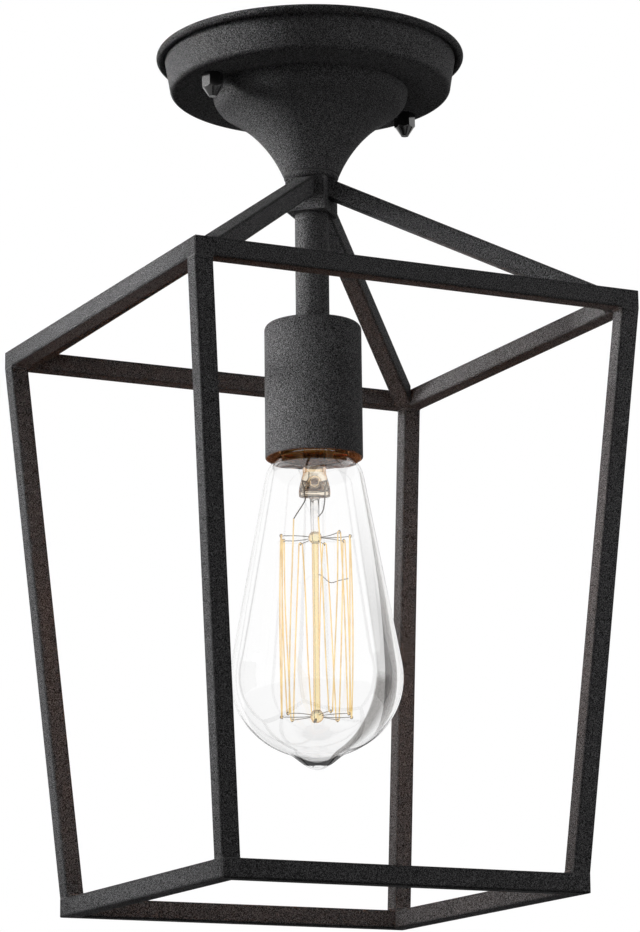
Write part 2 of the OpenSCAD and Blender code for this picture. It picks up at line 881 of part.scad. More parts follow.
// How far the sealed tip stands out below the belly at radius x.
function tip_bump(x) = x < tip_base_d / 2 ? tip_h * pow(1 - pow(2 * x / tip_base_d, 2), 2) : 0;

module bulb_glass() {
    color(clear_glass)
        difference() {
            rotate_extrude()
                polygon(concat([[0, glass_top_z]], glass_side(0, 1)));
            rotate_extrude()
                polygon(concat(
                    [[0, glass_top_z + over], [glass_neck_d / 2 - glass_t, glass_top_z + over]],
                    glass_side(glass_t, 0)
                ));
        }
}

// The flat press, its two ends round.
module press_section() {
    square([press_w - press_t, press_t], center = true);
    for (side = [-1, 1])
        translate([side * press_lead_x, 0])
            circle(d = press_t);
}

// The glass mount: a flare whose rim is sealed to the neck's end, its tube, the flat press
// with a bore for each lead wire, and the rod with two beads.
module bulb_mount() {
    flare_h = 5;
    tube_r = mount_d / 2;
    bore_r = tube_r - glass_t;
    rim_r = glass_neck_d / 2;
    flare_r = rim_r - glass_t - glass_gap / 2;
    flare_low_z = glass_top_z - flare_h;
    press_top_z = press_bottom_z + press_h;
    color(clear_glass) {
        rotate_extrude()
            polygon([
                [0, press_top_z],
                [tube_r, press_top_z],
                [tube_r, flare_low_z],
                [flare_r, glass_top_z],
                [rim_r, glass_top_z],
                [rim_r, glass_top_z + glass_t],
                [flare_r - glass_t, glass_top_z + glass_t],
                [bore_r, flare_low_z + glass_t],
                [bore_r, press_top_z + glass_t],
                [0, press_top_z + glass_t],
            ]);
        rotate(press_turn)
            difference() {
                translate([0, 0, press_bottom_z])
                    linear_extrude(height = press_h + glass_t / 2) press_section();
                for (side = [-1, 1])
                    translate([side * press_lead_x, 0, press_bottom_z - over])
                        cylinder(h = glass_lead_grip + over, d = glass_lead_d + thread_gap);
            }
        translate([0, 0, lower_bead_z])
            cylinder(h = press_bottom_z + over - lower_bead_z, d = rod_d);
        for (level = [upper_bead_z, lower_bead_z])
            translate([0, 0, level])
                sphere(d = bead_d);
    }
}

// Corner k of the filament's zigzag: even corners are at the top, odd ones at the bottom, and
// the first and last are the ends, which stand higher. A side of -1 or 1 gives the place
// where a strand leaves the corner's hook.
function filament_corner(k, side = 0) =
    let (
        a = filament_turn + filament_arc * k / last_corner + side * hook_turn,
        top_z = k == 0 || k == last_corner ? upper_bead_z + filament_end_h : upper_bead_z
    )
    [filament_r * cos(a), filament_r * sin(a), k % 2 == 0 ? top_z : lower_bead_z];

// A support wire from its bead to just short of filament corner k.
module support(k) {
    corner = filament_corner(k);
    outward = [corner.x, corner.y, 0] / filament_r;
    level = [0, 0, corner.z];
    reach = filament_r - filament_d / 2 - wire_gap;
    wire(level + outward * (bead_d / 2), level + outward * reach, support_d);
}

module bulb_upper_supports() {
    color(zinc)
        for (k = [2:2:last_corner - 2])
            support(k);
}

module bulb_lower_supports() {
    color(zinc)
        for (k = [1:2:last_corner - 1])
            support(k);
}

// One strand of the filament with its two rounded ends.
module strand(a, b) {
    wire(a, b, filament_d);
    for (end = [a, b])
        translate(end) sphere(d = strand_end_d, $fn = 16);
}

module bulb_filament() {
    color([1, 0.75, 0.35]) {
        for (k = [1:last_corner])
            strand(filament_corner(k - 1, 1), filament_corner(k, -1));
        for (k = [1:last_corner - 1])
            wire(filament_corner(k, -1), filament_corner(k, 1), filament_d);
    }
}

// The two lead wires come straight down out of the press, the one on its right for the
// filament's first end and the one on its left for its last, and lead out to them.
module bulb_lead_wires() {
    elbow_h = 2;
    color(zinc)
        for (k = [0, last_corner]) {
            side = k == 0 ? 1 : -1;
            foot = side * press_lead_x * [cos(press_turn), sin(press_turn)];
            elbow = [foot.x, foot.y, press_bottom_z - elbow_h];
            stop = filament_corner(k, side);
            v = stop - elbow;
            wire([foot.x, foot.y, press_bottom_z + glass_lead_grip - wire_gap], elbow, glass_lead_d);
            translate(elbow) sphere(d = glass_lead_d + wire_gap, $fn = 16);
            wire(elbow, stop - v / norm(v) * (strand_end_d / 2 + wire_gap), glass_lead_d);
        }
}

// ---------- every node ----------

mounting_crossbar();
canopy_studs();
stud_lock_nuts();
ground_screw();
ground_lead();
canopy_pan();
canopy_bell();
cap_nut(-1, left_nut_turn);  // left_cap_nut
cap_nut(1, right_nut_turn);  // right_cap_nut
upper_nipple();
bell_washer();
bell_lock_nut();
cage_hub();
roof_bar(0);  // roof_bar_front_right
roof_bar(1);  // roof_bar_back_right
roof_bar(2);  // roof_bar_back_left
roof_bar(3);  // roof_bar_front_left
top_rail(0);  // top_rail_front
top_rail(1);  // top_rail_right
top_rail(2);  // top_rail_back
top_rail(3);  // top_rail_left
post(0);  // post_front_right
post(1);  // post_back_right
post(2);  // post_back_left
post(3);  // post_front_left
bottom_rail(0);  // bottom_rail_front
bottom_rail(1);  // bottom_rail_right
bottom_rail(2);  // bottom_rail_back
bottom_rail(3);  // bottom_rail_left
stem_tube();
lower_nipple();
socket_cup();
cup_lock_nut();
lampholder_body();
screw_shell();
centre_contact();
line_lead();
neutral_lead();
lead_tips();
bulb_end_contact();
bulb_insulator();
bulb_base();
bulb_glass();
bulb_mount();
bulb_upper_supports();
bulb_lower_supports();
bulb_filament();
bulb_lead_wires();
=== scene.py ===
# %% [markdown]
# # A porch ceiling lantern
# The solids of this lantern come from a CAD model: a canopy, a short stem, a socket cup with
# a clear filament bulb, and an open square cage. Here they get their finishes, and the shapes
# that a CAD solid keeps plain, such as threads, welds and the fine wires in the bulb.
# Everything is in metres. The ceiling is z = 0 and the lantern hangs below it.

# %% Load the frame
import math

import bmesh
import bpy
import numpy as np
from mathutils import Matrix, Vector


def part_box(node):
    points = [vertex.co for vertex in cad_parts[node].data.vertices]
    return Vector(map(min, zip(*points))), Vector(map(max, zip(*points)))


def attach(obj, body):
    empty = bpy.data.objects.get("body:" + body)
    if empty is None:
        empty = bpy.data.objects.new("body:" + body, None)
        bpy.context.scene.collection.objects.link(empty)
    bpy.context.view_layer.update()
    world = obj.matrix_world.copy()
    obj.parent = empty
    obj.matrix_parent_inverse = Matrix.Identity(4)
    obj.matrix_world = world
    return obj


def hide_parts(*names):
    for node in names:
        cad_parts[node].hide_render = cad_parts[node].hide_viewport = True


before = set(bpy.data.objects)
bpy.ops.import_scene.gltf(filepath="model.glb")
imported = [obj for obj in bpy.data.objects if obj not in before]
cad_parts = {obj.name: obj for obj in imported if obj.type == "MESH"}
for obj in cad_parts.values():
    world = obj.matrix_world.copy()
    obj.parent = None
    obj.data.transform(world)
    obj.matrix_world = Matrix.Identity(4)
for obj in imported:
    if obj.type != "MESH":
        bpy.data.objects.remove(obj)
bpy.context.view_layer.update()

MM = 0.001
TAU = 2 * math.pi
FIXTURE, BULB = "fixture", "bulb"


def level(node, end):
    """The lowest (end 0) or highest (end 1) level of a CAD node, in millimetres."""
    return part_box(node)[end][2] / MM


# %% [markdown]
# ## Surfaces from formulas
# Each new piece is a grid of points: every row follows one parameter and every column the
# other. One helper turns such a grid into a mesh. Rows that shrink to a point become poles,
# so doubled points are merged, and then all faces are turned outwards.


# %% One grid of points becomes one shell
def grid_faces(rows, columns, wrap_rows, wrap_columns):
    """Quads between neighbours of a rows x columns grid, numbered row by row."""
    index = np.arange(rows * columns).reshape(rows, columns)
    if wrap_rows:
        index = np.vstack([index, index[:1]])
    if wrap_columns:
        index = np.hstack([index, index[:, :1]])
    corners = [index[:-1, :-1], index[:-1, 1:], index[1:, 1:], index[1:, :-1]]
    return np.stack(corners, axis=-1).reshape(-1, 4)


def shell(points, wrap_rows=False):
    """A (points, faces) pair from a grid of points in millimetres, closed along its rows."""
    rows, columns = points.shape[:2]
    return points.reshape(-1, 3), grid_faces(rows, columns, wrap_rows, True)


def add_mesh(name, points, faces, material):
    """A mesh from arrays of points and faces, with one material."""
    mesh = bpy.data.meshes.new(name)
    mesh.from_pydata(points.tolist(), [], faces.tolist())
    mesh.materials.append(material)
    return mesh


def add_object(name, data):
    """A new object with this data, linked to the scene."""
    made = bpy.data.objects.new(name, data)
    bpy.context.scene.collection.objects.link(made)
    return made


# %% Shells become one piece
MERGE = 2e-7    # points closer than this are one, in metres


def piece(name, shells, material, body, sharp, replaced=()):
    """One object from a list of shells, merged at its poles, facing outwards and riding a
    body. Edges that turn by more than sharp degrees stay sharp."""
    counts = np.cumsum([0] + [len(points) for points, faces in shells])
    points = np.vstack([points for points, faces in shells]) * MM
    faces = np.vstack([faces + start for (_, faces), start in zip(shells, counts)])
    mesh = add_mesh(name, points, faces, material)
    work = bmesh.new()
    work.from_mesh(mesh)
    bmesh.ops.remove_doubles(work, verts=work.verts, dist=MERGE)
    bmesh.ops.recalc_face_normals(work, faces=work.faces)
    work.to_mesh(mesh)
    work.free()
    mesh.shade_smooth()
    mesh.set_sharp_from_angle(angle=math.radians(sharp))
    made = add_object(name, mesh)
    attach(made, body)
    if replaced:
        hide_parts(*replaced)
    print(f"{name}: {len(mesh.polygons)} faces, rides {body}")
    return made


# %% Profiles
def arc(centre, radius, start, end, steps):
    """Points on a circle arc, centre + radius * (cos a, sin a), with a in degrees."""
    a = np.radians(np.linspace(start, end, steps + 1))
    return np.stack([centre[0] + radius * np.cos(a), centre[1] + radius * np.sin(a)], axis=1)


def outline(*parts):
    """One profile of (radius, level) points from arcs and single points in a row."""
    return np.vstack([np.atleast_2d(np.array(part, dtype=float)) for part in parts])


def around(r, z, t, centre=(0.0, 0.0)):
    """Points round a vertical axis: (r, z) at the angle t is (r cos t, r sin t, z)."""
    x = centre[0] + r * np.cos(t)
    y = centre[1] + r * np.sin(t)
    return np.stack([x, y, z + 0 * x], axis=-1)


def revolve(profile, columns, closed=True, centre=(0.0, 0.0)):
    """Turns a profile of (radius, level) points about a vertical axis."""
    t = np.linspace(0, TAU, columns, endpoint=False)
    return shell(around(profile[:, :1], profile[:, 1:], t, centre), wrap_rows=closed)


# %% Threads
ROWS_PER_TURN = 8


def thread_wave(z, t, pitch):
    """A rolled right-hand thread: 1 on its crest and 0 in its root, as a rounded wave."""
    phase = z / pitch - t / TAU
    return 0.5 + 0.5 * np.cos(TAU * phase)


def fade(z, low, high, length):
    """1 between two levels, easing to 0 over a length inside each of them."""
    rise = np.clip((z - low) / length, 0, 1) * np.clip((high - z) / length, 0, 1)
    return rise * rise * (3 - 2 * rise)


def threaded_rod(low, high, crest, depth, pitch, columns, bore=0.0, centre=(0.0, 0.0)):
    """A rod or hollow nipple: radius = crest - depth * (1 - wave), chamfered at both ends."""
    z = np.linspace(low, high, int((high - low) / pitch * ROWS_PER_TURN) + 1)[:, None]
    t = np.linspace(0, TAU, columns, endpoint=False)[None, :]
    r = crest - depth * (1 - thread_wave(z, t, pitch))
    chamfer = np.minimum(z - low, high - z)
    r = np.minimum(r, crest - depth + chamfer)
    inner = np.full((1, columns), bore)
    r = np.vstack([inner, r, inner])
    z = np.vstack([[[low]], z, [[high]]])
    return shell(around(r, z, t, centre), wrap_rows=bore > 0)


# %% Wires
def smooth_path(points, count):
    """A smooth cubic curve through all the given points, sampled at count places."""
    p = np.array(points, dtype=float)
    p = np.vstack([2 * p[0] - p[1], p, 2 * p[-1] - p[-2]])
    s = np.linspace(0, len(p) - 3 - 1e-9, count)
    k = s.astype(int)
    f = (s - k)[:, None]
    a, b, c, d = p[k], p[k + 1], p[k + 2], p[k + 3]
    return 0.5 * (2 * b + (c - a) * f + (2 * a - 5 * b + 4 * c - d) * f**2
                  + (3 * b - a - 3 * c + d) * f**3)


def wire(path, radius, sides, side_of):
    """A round wire along a path: each ring is radius * (cos a * n + sin a * b), with n and b
    square to the path and n as near to side_of as it can be. Both ends close to a point."""
    path = np.asarray(path, dtype=float)
    along = np.gradient(path, axis=0)
    along /= np.linalg.norm(along, axis=1, keepdims=True)
    n = side_of - (along * side_of).sum(axis=1, keepdims=True) * along
    n /= np.linalg.norm(n, axis=1, keepdims=True)
    b = np.cross(along, n)
    a = np.linspace(0, TAU, sides, endpoint=False)
    ring = np.cos(a)[None, :, None] * n[:, None] + np.sin(a)[None, :, None] * b[:, None]
    body = path[:, None] + ring * radius
    first, last = body[:1] * 0 + path[0], body[:1] * 0 + path[-1]
    return shell(np.concatenate([first, body, last]))


# %% [markdown]
# ## Shared effects
# The steel is sprayed with a fine-textured powder that melts to a grainy skin. An edge gets
# a painted highlight line with a strip of painted shade beside it. These effects are node
# groups: each is built once, has named inputs, and gives masks, heights or normals that a
# material uses in its way.


# %% A helper for node trees
class Tree:
    """A short way to add nodes to a tree and link them."""

    def __init__(self, tree):
        self.tree = tree

    def give(self, node, inputs):
        """Sets a node's inputs, and links those whose value is another node's output."""
        for key, value in inputs.items():
            if isinstance(value, bpy.types.NodeSocket):
                self.tree.links.new(value, node.inputs[key])
            else:
                node.inputs[key].default_value = value

    def add(self, kind, inputs=None, **settings):
        """Adds a node, sets its properties, and gives it its inputs."""
        made = self.tree.nodes.new(kind)
        for key, value in settings.items():
            setattr(made, key, value)
        self.give(made, inputs or {})
        return made

    def math(self, operation, a, b):
        """The output of a Math node."""
        return self.add("ShaderNodeMath", {0: a, 1: b}, operation=operation).outputs[0]

    def times(self, a, b):
        """The product a * b."""
        return self.math("MULTIPLY", a, b)

    def plus(self, a, b):
        """The sum a + b."""
        return self.math("ADD", a, b)

    def minus(self, a, b):
        """The difference a - b."""
        return self.math("SUBTRACT", a, b)

    def noise(self, vector, scale, detail=2.0, rough=0.5):
        """The value of a noise texture whose bumps are about 1 / scale metres wide."""
        inputs = {"Vector": vector, "Scale": scale, "Detail": detail, "Roughness": rough}
        return self.add("ShaderNodeTexNoise", inputs).outputs["Fac"]

    def ramp(self, value, low, high, to_low=0.0, to_high=1.0):
        """Maps value from low..high to to_low..to_high, clamped."""
        inputs = {0: value, 1: low, 2: high, 3: to_low, 4: to_high}
        return self.add("ShaderNodeMapRange", inputs, clamp=True).outputs[0]

    def mix(self, factor, a, b):
        """A colour between a and b."""
        inputs = {0: factor, 6: a, 7: b}
        return self.add("ShaderNodeMix", inputs, data_type="RGBA").outputs[2]

    def seen_directly(self):
        """1 for camera, glossy and transmission rays, and 0 for all others."""
        path = self.add("ShaderNodeLightPath").outputs
        seen = self.math("MAXIMUM", path["Is Camera Ray"], path["Is Glossy Ray"])
        return self.math("MAXIMUM", seen, path["Is Transmission Ray"])


def group(name, inputs, outputs):
    """An empty node group with named sockets: its tree, its inputs and its output node."""
    made = bpy.data.node_groups.new(name, "ShaderNodeTree")
    for label, kind, value in inputs:
        socket = made.interface.new_socket(label, in_out="INPUT", socket_type=kind)
        if value is not None:
            socket.default_value = value
    for label, kind in outputs:
        made.interface.new_socket(label, in_out="OUTPUT", socket_type=kind)
    tree = Tree(made)
    return tree, made.nodes.new("NodeGroupInput").outputs, made.nodes.new("NodeGroupOutput")


# %% The powder's grain
def powder_grain_group():
    """Height is fine melted grain; Speck marks single grains, which a material paints lighter,
    partly as their own tone and partly as a painted glint; Cloud is the slow change over a
    hand's breadth that a spray gun leaves."""
    tree, given, out = group(
        "powder_grain",
        [("Vector", "NodeSocketVector", None), ("Grain per metre", "NodeSocketFloat", 2000.0)],
        [("Height", "NodeSocketFloat"), ("Speck", "NodeSocketFloat"), ("Cloud", "NodeSocketFloat")],
    )
    vector, grain = given["Vector"], given["Grain per metre"]
    coarse = tree.noise(vector, grain, 3.0, 0.6)
    swell = tree.noise(vector, tree.times(grain, 0.22))
    height = tree.plus(coarse, tree.times(swell, 0.6))
    fine = tree.noise(vector, tree.times(grain, 1.3), 1.0, 0.8)
    tree.give(out, {
        "Height": height,
        "Speck": tree.ramp(fine, 0.42, 0.7),
        "Cloud": tree.noise(vector, 18.0),
    })
    return tree.tree


# %% Shine on edges
def edge_shine_group():
    """Line is 1 on an edge and Hem is 1 in the narrow strip beside it, both from how far the
    rounded normal turns from the face's own. Normal is that rounded normal."""
    tree, given, out = group(
        "edge_shine",
        [("Radius", "NodeSocketFloat", 0.0006)],
        [("Line", "NodeSocketFloat"), ("Hem", "NodeSocketFloat"), ("Normal", "NodeSocketVector")],
    )
    rounded = tree.add("ShaderNodeBevel", {"Radius": given["Radius"]}, samples=4).outputs[0]
    flat = tree.add("ShaderNodeNewGeometry").outputs["True Normal"]
    turn = tree.add("ShaderNodeVectorMath", {0: rounded, 1: flat}, operation="DOT_PRODUCT")
    line = tree.ramp(turn.outputs["Value"], 0.95, 0.85)
    hem = tree.minus(tree.ramp(turn.outputs["Value"], 0.999, 0.98), line)
    tree.give(out, {"Line": line, "Hem": hem, "Normal": rounded})
    return tree.tree


# %% Handling marks
def handled_group():
    """Smear is a soft mask of finger marks and dust; Scratch is a mask of fine hairlines."""
    tree, given, out = group(
        "handled",
        [("Vector", "NodeSocketVector", None), ("Marks per metre", "NodeSocketFloat", 60.0)],
        [("Smear", "NodeSocketFloat"), ("Scratch", "NodeSocketFloat")],
    )
    vector, marks = given["Vector"], given["Marks per metre"]
    smear = tree.ramp(tree.noise(vector, marks, 4.0, 0.65), 0.45, 0.7)
    turned = tree.add(
        "ShaderNodeMapping",
        {"Vector": vector, "Rotation": (0.4, 0.7, 0.3), "Scale": (1.0, 14.0, 3.0)},
    ).outputs[0]
    hair = tree.noise(turned, tree.times(marks, 5.0), 1.0)
    tree.give(out, {"Smear": smear, "Scratch": tree.ramp(hair, 0.66, 0.72)})
    return tree.tree


# %% Pits beside the welds
# A place in metres, and how far from it the pits reach. All three values of a place are
# taken without their sign, so each one stands for all four corners.
WELD_PLACES = (
    ((0.010, 0.010, 0.058), 0.014),    # the roof bars' roots round the hub
    ((0.083, 0.083, 0.110), 0.013),    # the posts in the top ring
    ((0.069, 0.069, 0.316), 0.010),    # the posts in the bottom ring
)


def weld_pits_group():
    """Pits is a mask of small round pits. They lie only where the torch was."""
    tree, given, out = group(
        "weld_pits", [("Vector", "NodeSocketVector", None)], [("Pits", "NodeSocketFloat")]
    )
    vector = given["Vector"]
    folded = tree.add("ShaderNodeVectorMath", {0: vector}, operation="ABSOLUTE").outputs[0]
    zone = None
    for place, reach in WELD_PLACES:
        apart = tree.add("ShaderNodeVectorMath", {0: folded, 1: place}, operation="DISTANCE")
        near = tree.ramp(apart.outputs["Value"], reach, reach * 0.5)
        zone = near if zone is None else tree.math("MAXIMUM", zone, near)
    cells = tree.add("ShaderNodeTexVoronoi", {"Vector": vector, "Scale": 900.0})
    chosen = tree.add("ShaderNodeSeparateColor", {0: cells.outputs["Color"]}).outputs[1]
    pit = tree.ramp(cells.outputs["Distance"], 0.42, 0.2)
    pit = tree.times(pit, tree.ramp(chosen, 0.45, 0.6))
    tree.give(out, {"Pits": tree.times(pit, zone)})
    return tree.tree


GROUPS = {
    "powder_grain": powder_grain_group(),
    "weld_pits": weld_pits_group(),
    "edge_shine": edge_shine_group(),
    "handled": handled_group(),
}
print("shared effects:", ", ".join(GROUPS))


# %% [markdown]
# ## Materials
# Every finish is a Principled BSDF whose colour, roughness and bump change over the surface.
# Values that are the same all over, such as the metal's coat or the glass's index, are set
# on the shader itself.


# %% A start for every material
def finish(name, metallic=0.0, **constant):
    """A new material: its tree helper, its Principled BSDF and its object coordinates."""
    made = bpy.data.materials.new(name)
    made.use_nodes = True
    made.node_tree.nodes.clear()
    tree = Tree(made.node_tree)
    shader = tree.add("ShaderNodeBsdfPrincipled", {"Metallic": metallic, **constant})
    tree.add("ShaderNodeOutputMaterial", {"Surface": shader.outputs[0]})
    where = tree.add("ShaderNodeTexCoord").outputs["Object"]
    return made, tree, shader, where


def effect(tree, name, **inputs):
    """A shared effect placed in a material with its own values."""
    given = {key.replace("_", " "): value for key, value in inputs.items()}
    return tree.add("ShaderNodeGroup", given, node_tree=GROUPS[name]).outputs


def feed(tree, shader, **values):
    """Links changing values into the shader's sockets."""
    tree.give(shader, {key.replace("_", " "): value for key, value in values.items()})


def bump(tree, height, depth, strength=1.0, normal=None):
    """A normal that rises and falls with height, depth metres for a height of 1."""
    inputs = {"Height": height, "Distance": depth, "Strength": strength}
    if normal is not None:
        inputs["Normal"] = normal
    return tree.add("ShaderNodeBump", inputs).outputs[0]


# %% [markdown]
# ### Textured black powder coat
# On the real lantern the coat is nearly black, but each grain has its own small highlight, so
# from a metre away it looks like fine charcoal paper. The grain is about 0.4 mm wide.


# %% Black powder coat
def powder_coat():
    """A near-black base with lighter grains and a rough skin. An edge has a painted highlight
    line, slightly smoother, with a strip of painted shade beside it, and the pits by the
    welds are painted dark, as shade in their hollows."""
    made, tree, shader, where = finish("black_powder_coat", **{"Specular IOR Level": 0.006})
    grain = effect(tree, "powder_grain", Vector=where, Grain_per_metre=2300.0)
    edge = effect(tree, "edge_shine", Radius=0.0008)
    marks = effect(tree, "handled", Vector=where, Marks_per_metre=45.0)
    pits = effect(tree, "weld_pits", Vector=where)["Pits"]
    black = (0.018, 0.018, 0.0184, 1)
    grain_tone_and_glint = (0.36, 0.356, 0.364, 1)
    # The edge line's paler colour is a painted highlight.
    painted_edge_highlight = (0.4, 0.396, 0.4, 1)
    # The specks are partly the grains' own lighter tone and partly a painted glint.
    colour = tree.mix(tree.times(grain["Speck"], 0.8), black, grain_tone_and_glint)
    # Painted shade in the strip beside each edge, then a painted highlight on the edge line.
    colour = tree.mix(tree.times(edge["Hem"], 0.7), colour, black)
    colour = tree.mix(tree.times(edge["Line"], 0.5), colour, painted_edge_highlight)
    # The weld pits are painted dark: painted shade in their hollows.
    colour = tree.mix(tree.times(pits, 0.8), colour, black)
    rough = tree.ramp(grain["Cloud"], 0.3, 0.7, 0.56, 0.64)
    rough = tree.minus(rough, tree.times(edge["Line"], 0.1))
    rough = tree.minus(rough, tree.times(marks["Smear"], 0.04))
    height = tree.minus(grain["Height"], tree.times(pits, 2.5))
    skin = bump(tree, height, depth=0.00007, normal=edge["Normal"])
    feed(tree, shader, Base_Color=colour, Roughness=rough, Normal=skin)
    return made


# %% Plated and bare metals
def metal(name, colour, dull, rough, streaks=0.0):
    """Bare metal: colour drifts to a duller one in the smears; hairlines raise the roughness."""
    made, tree, shader, where = finish(name, metallic=1.0)
    marks = effect(tree, "handled", Vector=where, Marks_per_metre=140.0)
    grain = effect(tree, "powder_grain", Vector=where, Grain_per_metre=2600.0)
    tint = tree.mix(marks["Smear"], colour, dull)
    value = tree.plus(tree.times(marks["Scratch"], 0.2), rough)
    value = tree.plus(value, tree.times(grain["Cloud"], 0.12))
    height = tree.plus(grain["Height"], tree.times(marks["Scratch"], streaks))
    feed(tree, shader, Base_Color=tint, Roughness=value, Normal=bump(tree, height, 0.00002))
    return made


# %% Plastics and enamel
def plastic(name, colour, mottle, rough, coat=0.0):
    """Moulded plastic or enamel: a faint mottle, a fine grain, and marks in its gloss."""
    made, tree, shader, where = finish(name, **{"Coat Weight": coat, "Coat Roughness": 0.1})
    marks = effect(tree, "handled", Vector=where, Marks_per_metre=90.0)
    grain = effect(tree, "powder_grain", Vector=where, Grain_per_metre=3000.0)
    tint = tree.mix(grain["Cloud"], colour, mottle)
    value = tree.plus(tree.times(marks["Smear"], 0.12), rough)
    feed(tree, shader, Base_Color=tint, Roughness=value,
         Normal=bump(tree, grain["Height"], 0.00002, 0.5))
    return made


# %% [markdown]
# ### Clear glass
# The bulb's glass is thin and clear. It is blown, so its wall waves a little, and that is
# what bends the light at its rim. A plain white glass would look like plastic: the light has
# to pass through both of its walls, so the shell has a real thickness.


# %% Glass
REFLECTION_BAND_START, REFLECTION_BAND_END = (-1.29, -1.26), (-0.85, -1.1)    # where its sides fade in, in radians
# Two levels, and the mask at each of them.
REFLECTION_BAND_FAINT, REFLECTION_BAND_STRONG = (-0.17, -0.22, 0.0, 0.4), (-0.242, -0.246, 0.0, 0.6)


def painted_reflection_band(tree, where):
    """A mask of a painted reflection: a grey band painted on the glass where it would mirror
    something dark. It lies in an upright band on one side, fainter above and stronger below."""
    x, y, z = tree.add("ShaderNodeSeparateXYZ", {0: where}).outputs
    side = tree.math("ARCTAN2", y, x)
    band = tree.times(tree.ramp(side, *REFLECTION_BAND_START), tree.ramp(side, *REFLECTION_BAND_END))
    low = tree.plus(tree.ramp(z, *REFLECTION_BAND_FAINT), tree.ramp(z, *REFLECTION_BAND_STRONG))
    return tree.times(band, low)


def clear_glass(name, wave, index):
    """Clear glass with a slow wave in its surface and a trace of dust in its roughness."""
    made, tree, shader, where = finish(name, **{"Transmission Weight": 1.0, "IOR": index})
    shader.inputs["Base Color"].default_value = (1, 1, 1, 1)
    marks = effect(tree, "handled", Vector=where, Marks_per_metre=30.0)
    height = tree.noise(where, 35.0, 1.0)
    feed(tree, shader, Roughness=tree.times(marks["Smear"], 0.008),
         Normal=bump(tree, height, wave))
    return made, tree, shader, where


def bulb_glass_finish():
    """The envelope's clear glass, with a painted grey reflection band on it."""
    made, tree, shader, where = clear_glass("bulb_glass", 0.00003, 1.7)
    # The grey in the band is a painted reflection.
    tint = tree.mix(painted_reflection_band(tree, where), (1, 1, 1, 1), (0.38, 0.37, 0.36, 1))
    feed(tree, shader, Base_Color=tint)
    return made


# %% [markdown]
# The glass of the mount is thicker. The rod is amber between its two beads, painted warm light
# from the glowing filament round it; it is clear above them, and the press is a cream colour again.


# %% Glass of the mount
def mount_glass_finish(high, press):
    """Clear glass that is amber below the level high, as painted light from the filament, and
    cream above the level press. It is darker where it turns away from view, as painted shade
    at its rim."""
    made, tree, shader, where = clear_glass("mount_glass", 0.0002, 1.6)
    z = tree.add("ShaderNodeSeparateXYZ", {0: where}).outputs[2]
    amber = tree.ramp(z, high + 0.003, high)
    cream = tree.ramp(z, press - 0.001, press + 0.001)
    away = tree.add("ShaderNodeLayerWeight", {"Blend": 0.5}).outputs["Facing"]
    # Darker where the glass turns away from view: painted shade at its rim.
    rim = tree.ramp(away, 0.15, 0.65)
    clear = tree.mix(rim, (0.99, 0.98, 0.97, 1), (0.45, 0.42, 0.42, 1))
    creamy = tree.mix(rim, (1.0, 0.89, 0.72, 1), (0.5, 0.22, 0.07, 1))
    # Amber here is painted warm light from the filament.
    painted_filament_light = tree.mix(rim, (1.0, 0.86, 0.5, 1), (0.6, 0.22, 0.04, 1))
    tint = tree.mix(amber, tree.mix(cream, clear, creamy), painted_filament_light)
    feed(tree, shader, Base_Color=tint)
    return made


# %% The glowing filament
def glowing(name, core, rim, strength):
    """A hot wire, dark when cold: yellow in the middle and browner at its edge, where the
    coil's turns curve away. Its glow changes along its length, as the coil's pitch does."""
    made, tree, shader, where = finish(name, **{"Emission Strength": strength})
    heat = tree.noise(where, 160.0, 2.0)
    away = tree.add("ShaderNodeLayerWeight", {"Blend": 0.5}).outputs["Facing"]
    hot = tree.mix(tree.times(tree.ramp(heat, 0.35, 0.65), 0.4), core, rim)
    hot = tree.mix(tree.ramp(away, 0.3, 0.9), hot, rim)
    cold = tree.mix(heat, (0.02, 0.018, 0.016, 1), (0.05, 0.045, 0.04, 1))
    rough = tree.ramp(heat, 0.3, 0.7, 0.4, 0.6)
    feed(tree, shader, Base_Color=cold, Emission_Color=hot, Roughness=rough)
    return made


# %% All finishes
POWDER = powder_coat()
ZINC = metal("zinc_plate", (0.6, 0.6, 0.58, 1), (0.42, 0.42, 0.43, 1), 0.3, 2.0)
GREEN = metal("green_plate", (0.07, 0.3, 0.12, 1), (0.05, 0.2, 0.09, 1), 0.35)
BRASS = metal("brass", (0.85, 0.47, 0.13, 1), (0.6, 0.3, 0.08, 1), 0.22, 1.0)
COPPER = metal("copper", (0.8, 0.42, 0.26, 1), (0.5, 0.22, 0.12, 1), 0.28, 1.0)
SOLDER = metal("solder", (0.62, 0.62, 0.63, 1), (0.4, 0.4, 0.42, 1), 0.4)
NICKEL = metal("nickel_wire", (0.3, 0.28, 0.26, 1), (0.2, 0.17, 0.15, 1), 0.3)
PHENOLIC = plastic("brown_phenolic", (0.36, 0.1, 0.02, 1), (0.26, 0.06, 0.012, 1), 0.35, 0.1)
BLACK_PVC = plastic("black_insulation", (0.02, 0.02, 0.021, 1), (0.03, 0.03, 0.03, 1), 0.4)
WHITE_PVC = plastic("white_insulation", (0.78, 0.77, 0.73, 1), (0.7, 0.69, 0.64, 1), 0.4)
ENAMEL = plastic("black_enamel", (0.006, 0.006, 0.006, 1), (0.012, 0.012, 0.012, 1), 0.14, 1.0)
VITRITE = plastic("black_vitrite", (0.012, 0.012, 0.016, 1), (0.02, 0.02, 0.024, 1), 0.12, 0.6)
GLASS = bulb_glass_finish()
GLOW = glowing("filament", (1.0, 0.74, 0.3, 1), (0.4, 0.2, 0.06, 1), 1.0)
print(len(bpy.data.materials), "materials")

# %% [markdown]
# ## Canopy
# The pan is spun from sheet steel: a dish with a rim rolled into a bead, so that it lies
# flat on the ceiling. A trumpet-shaped bell hangs under it. Both are profiles turned about
# the stem's axis, with the sheet's inside drawn as well as its outside.


# %% Pieces with the coat
def coated(name, shells, sharp, replaced=()):
    """A piece of the fixture in black powder coat."""
    piece(name, shells, POWDER, FIXTURE, sharp, replaced)


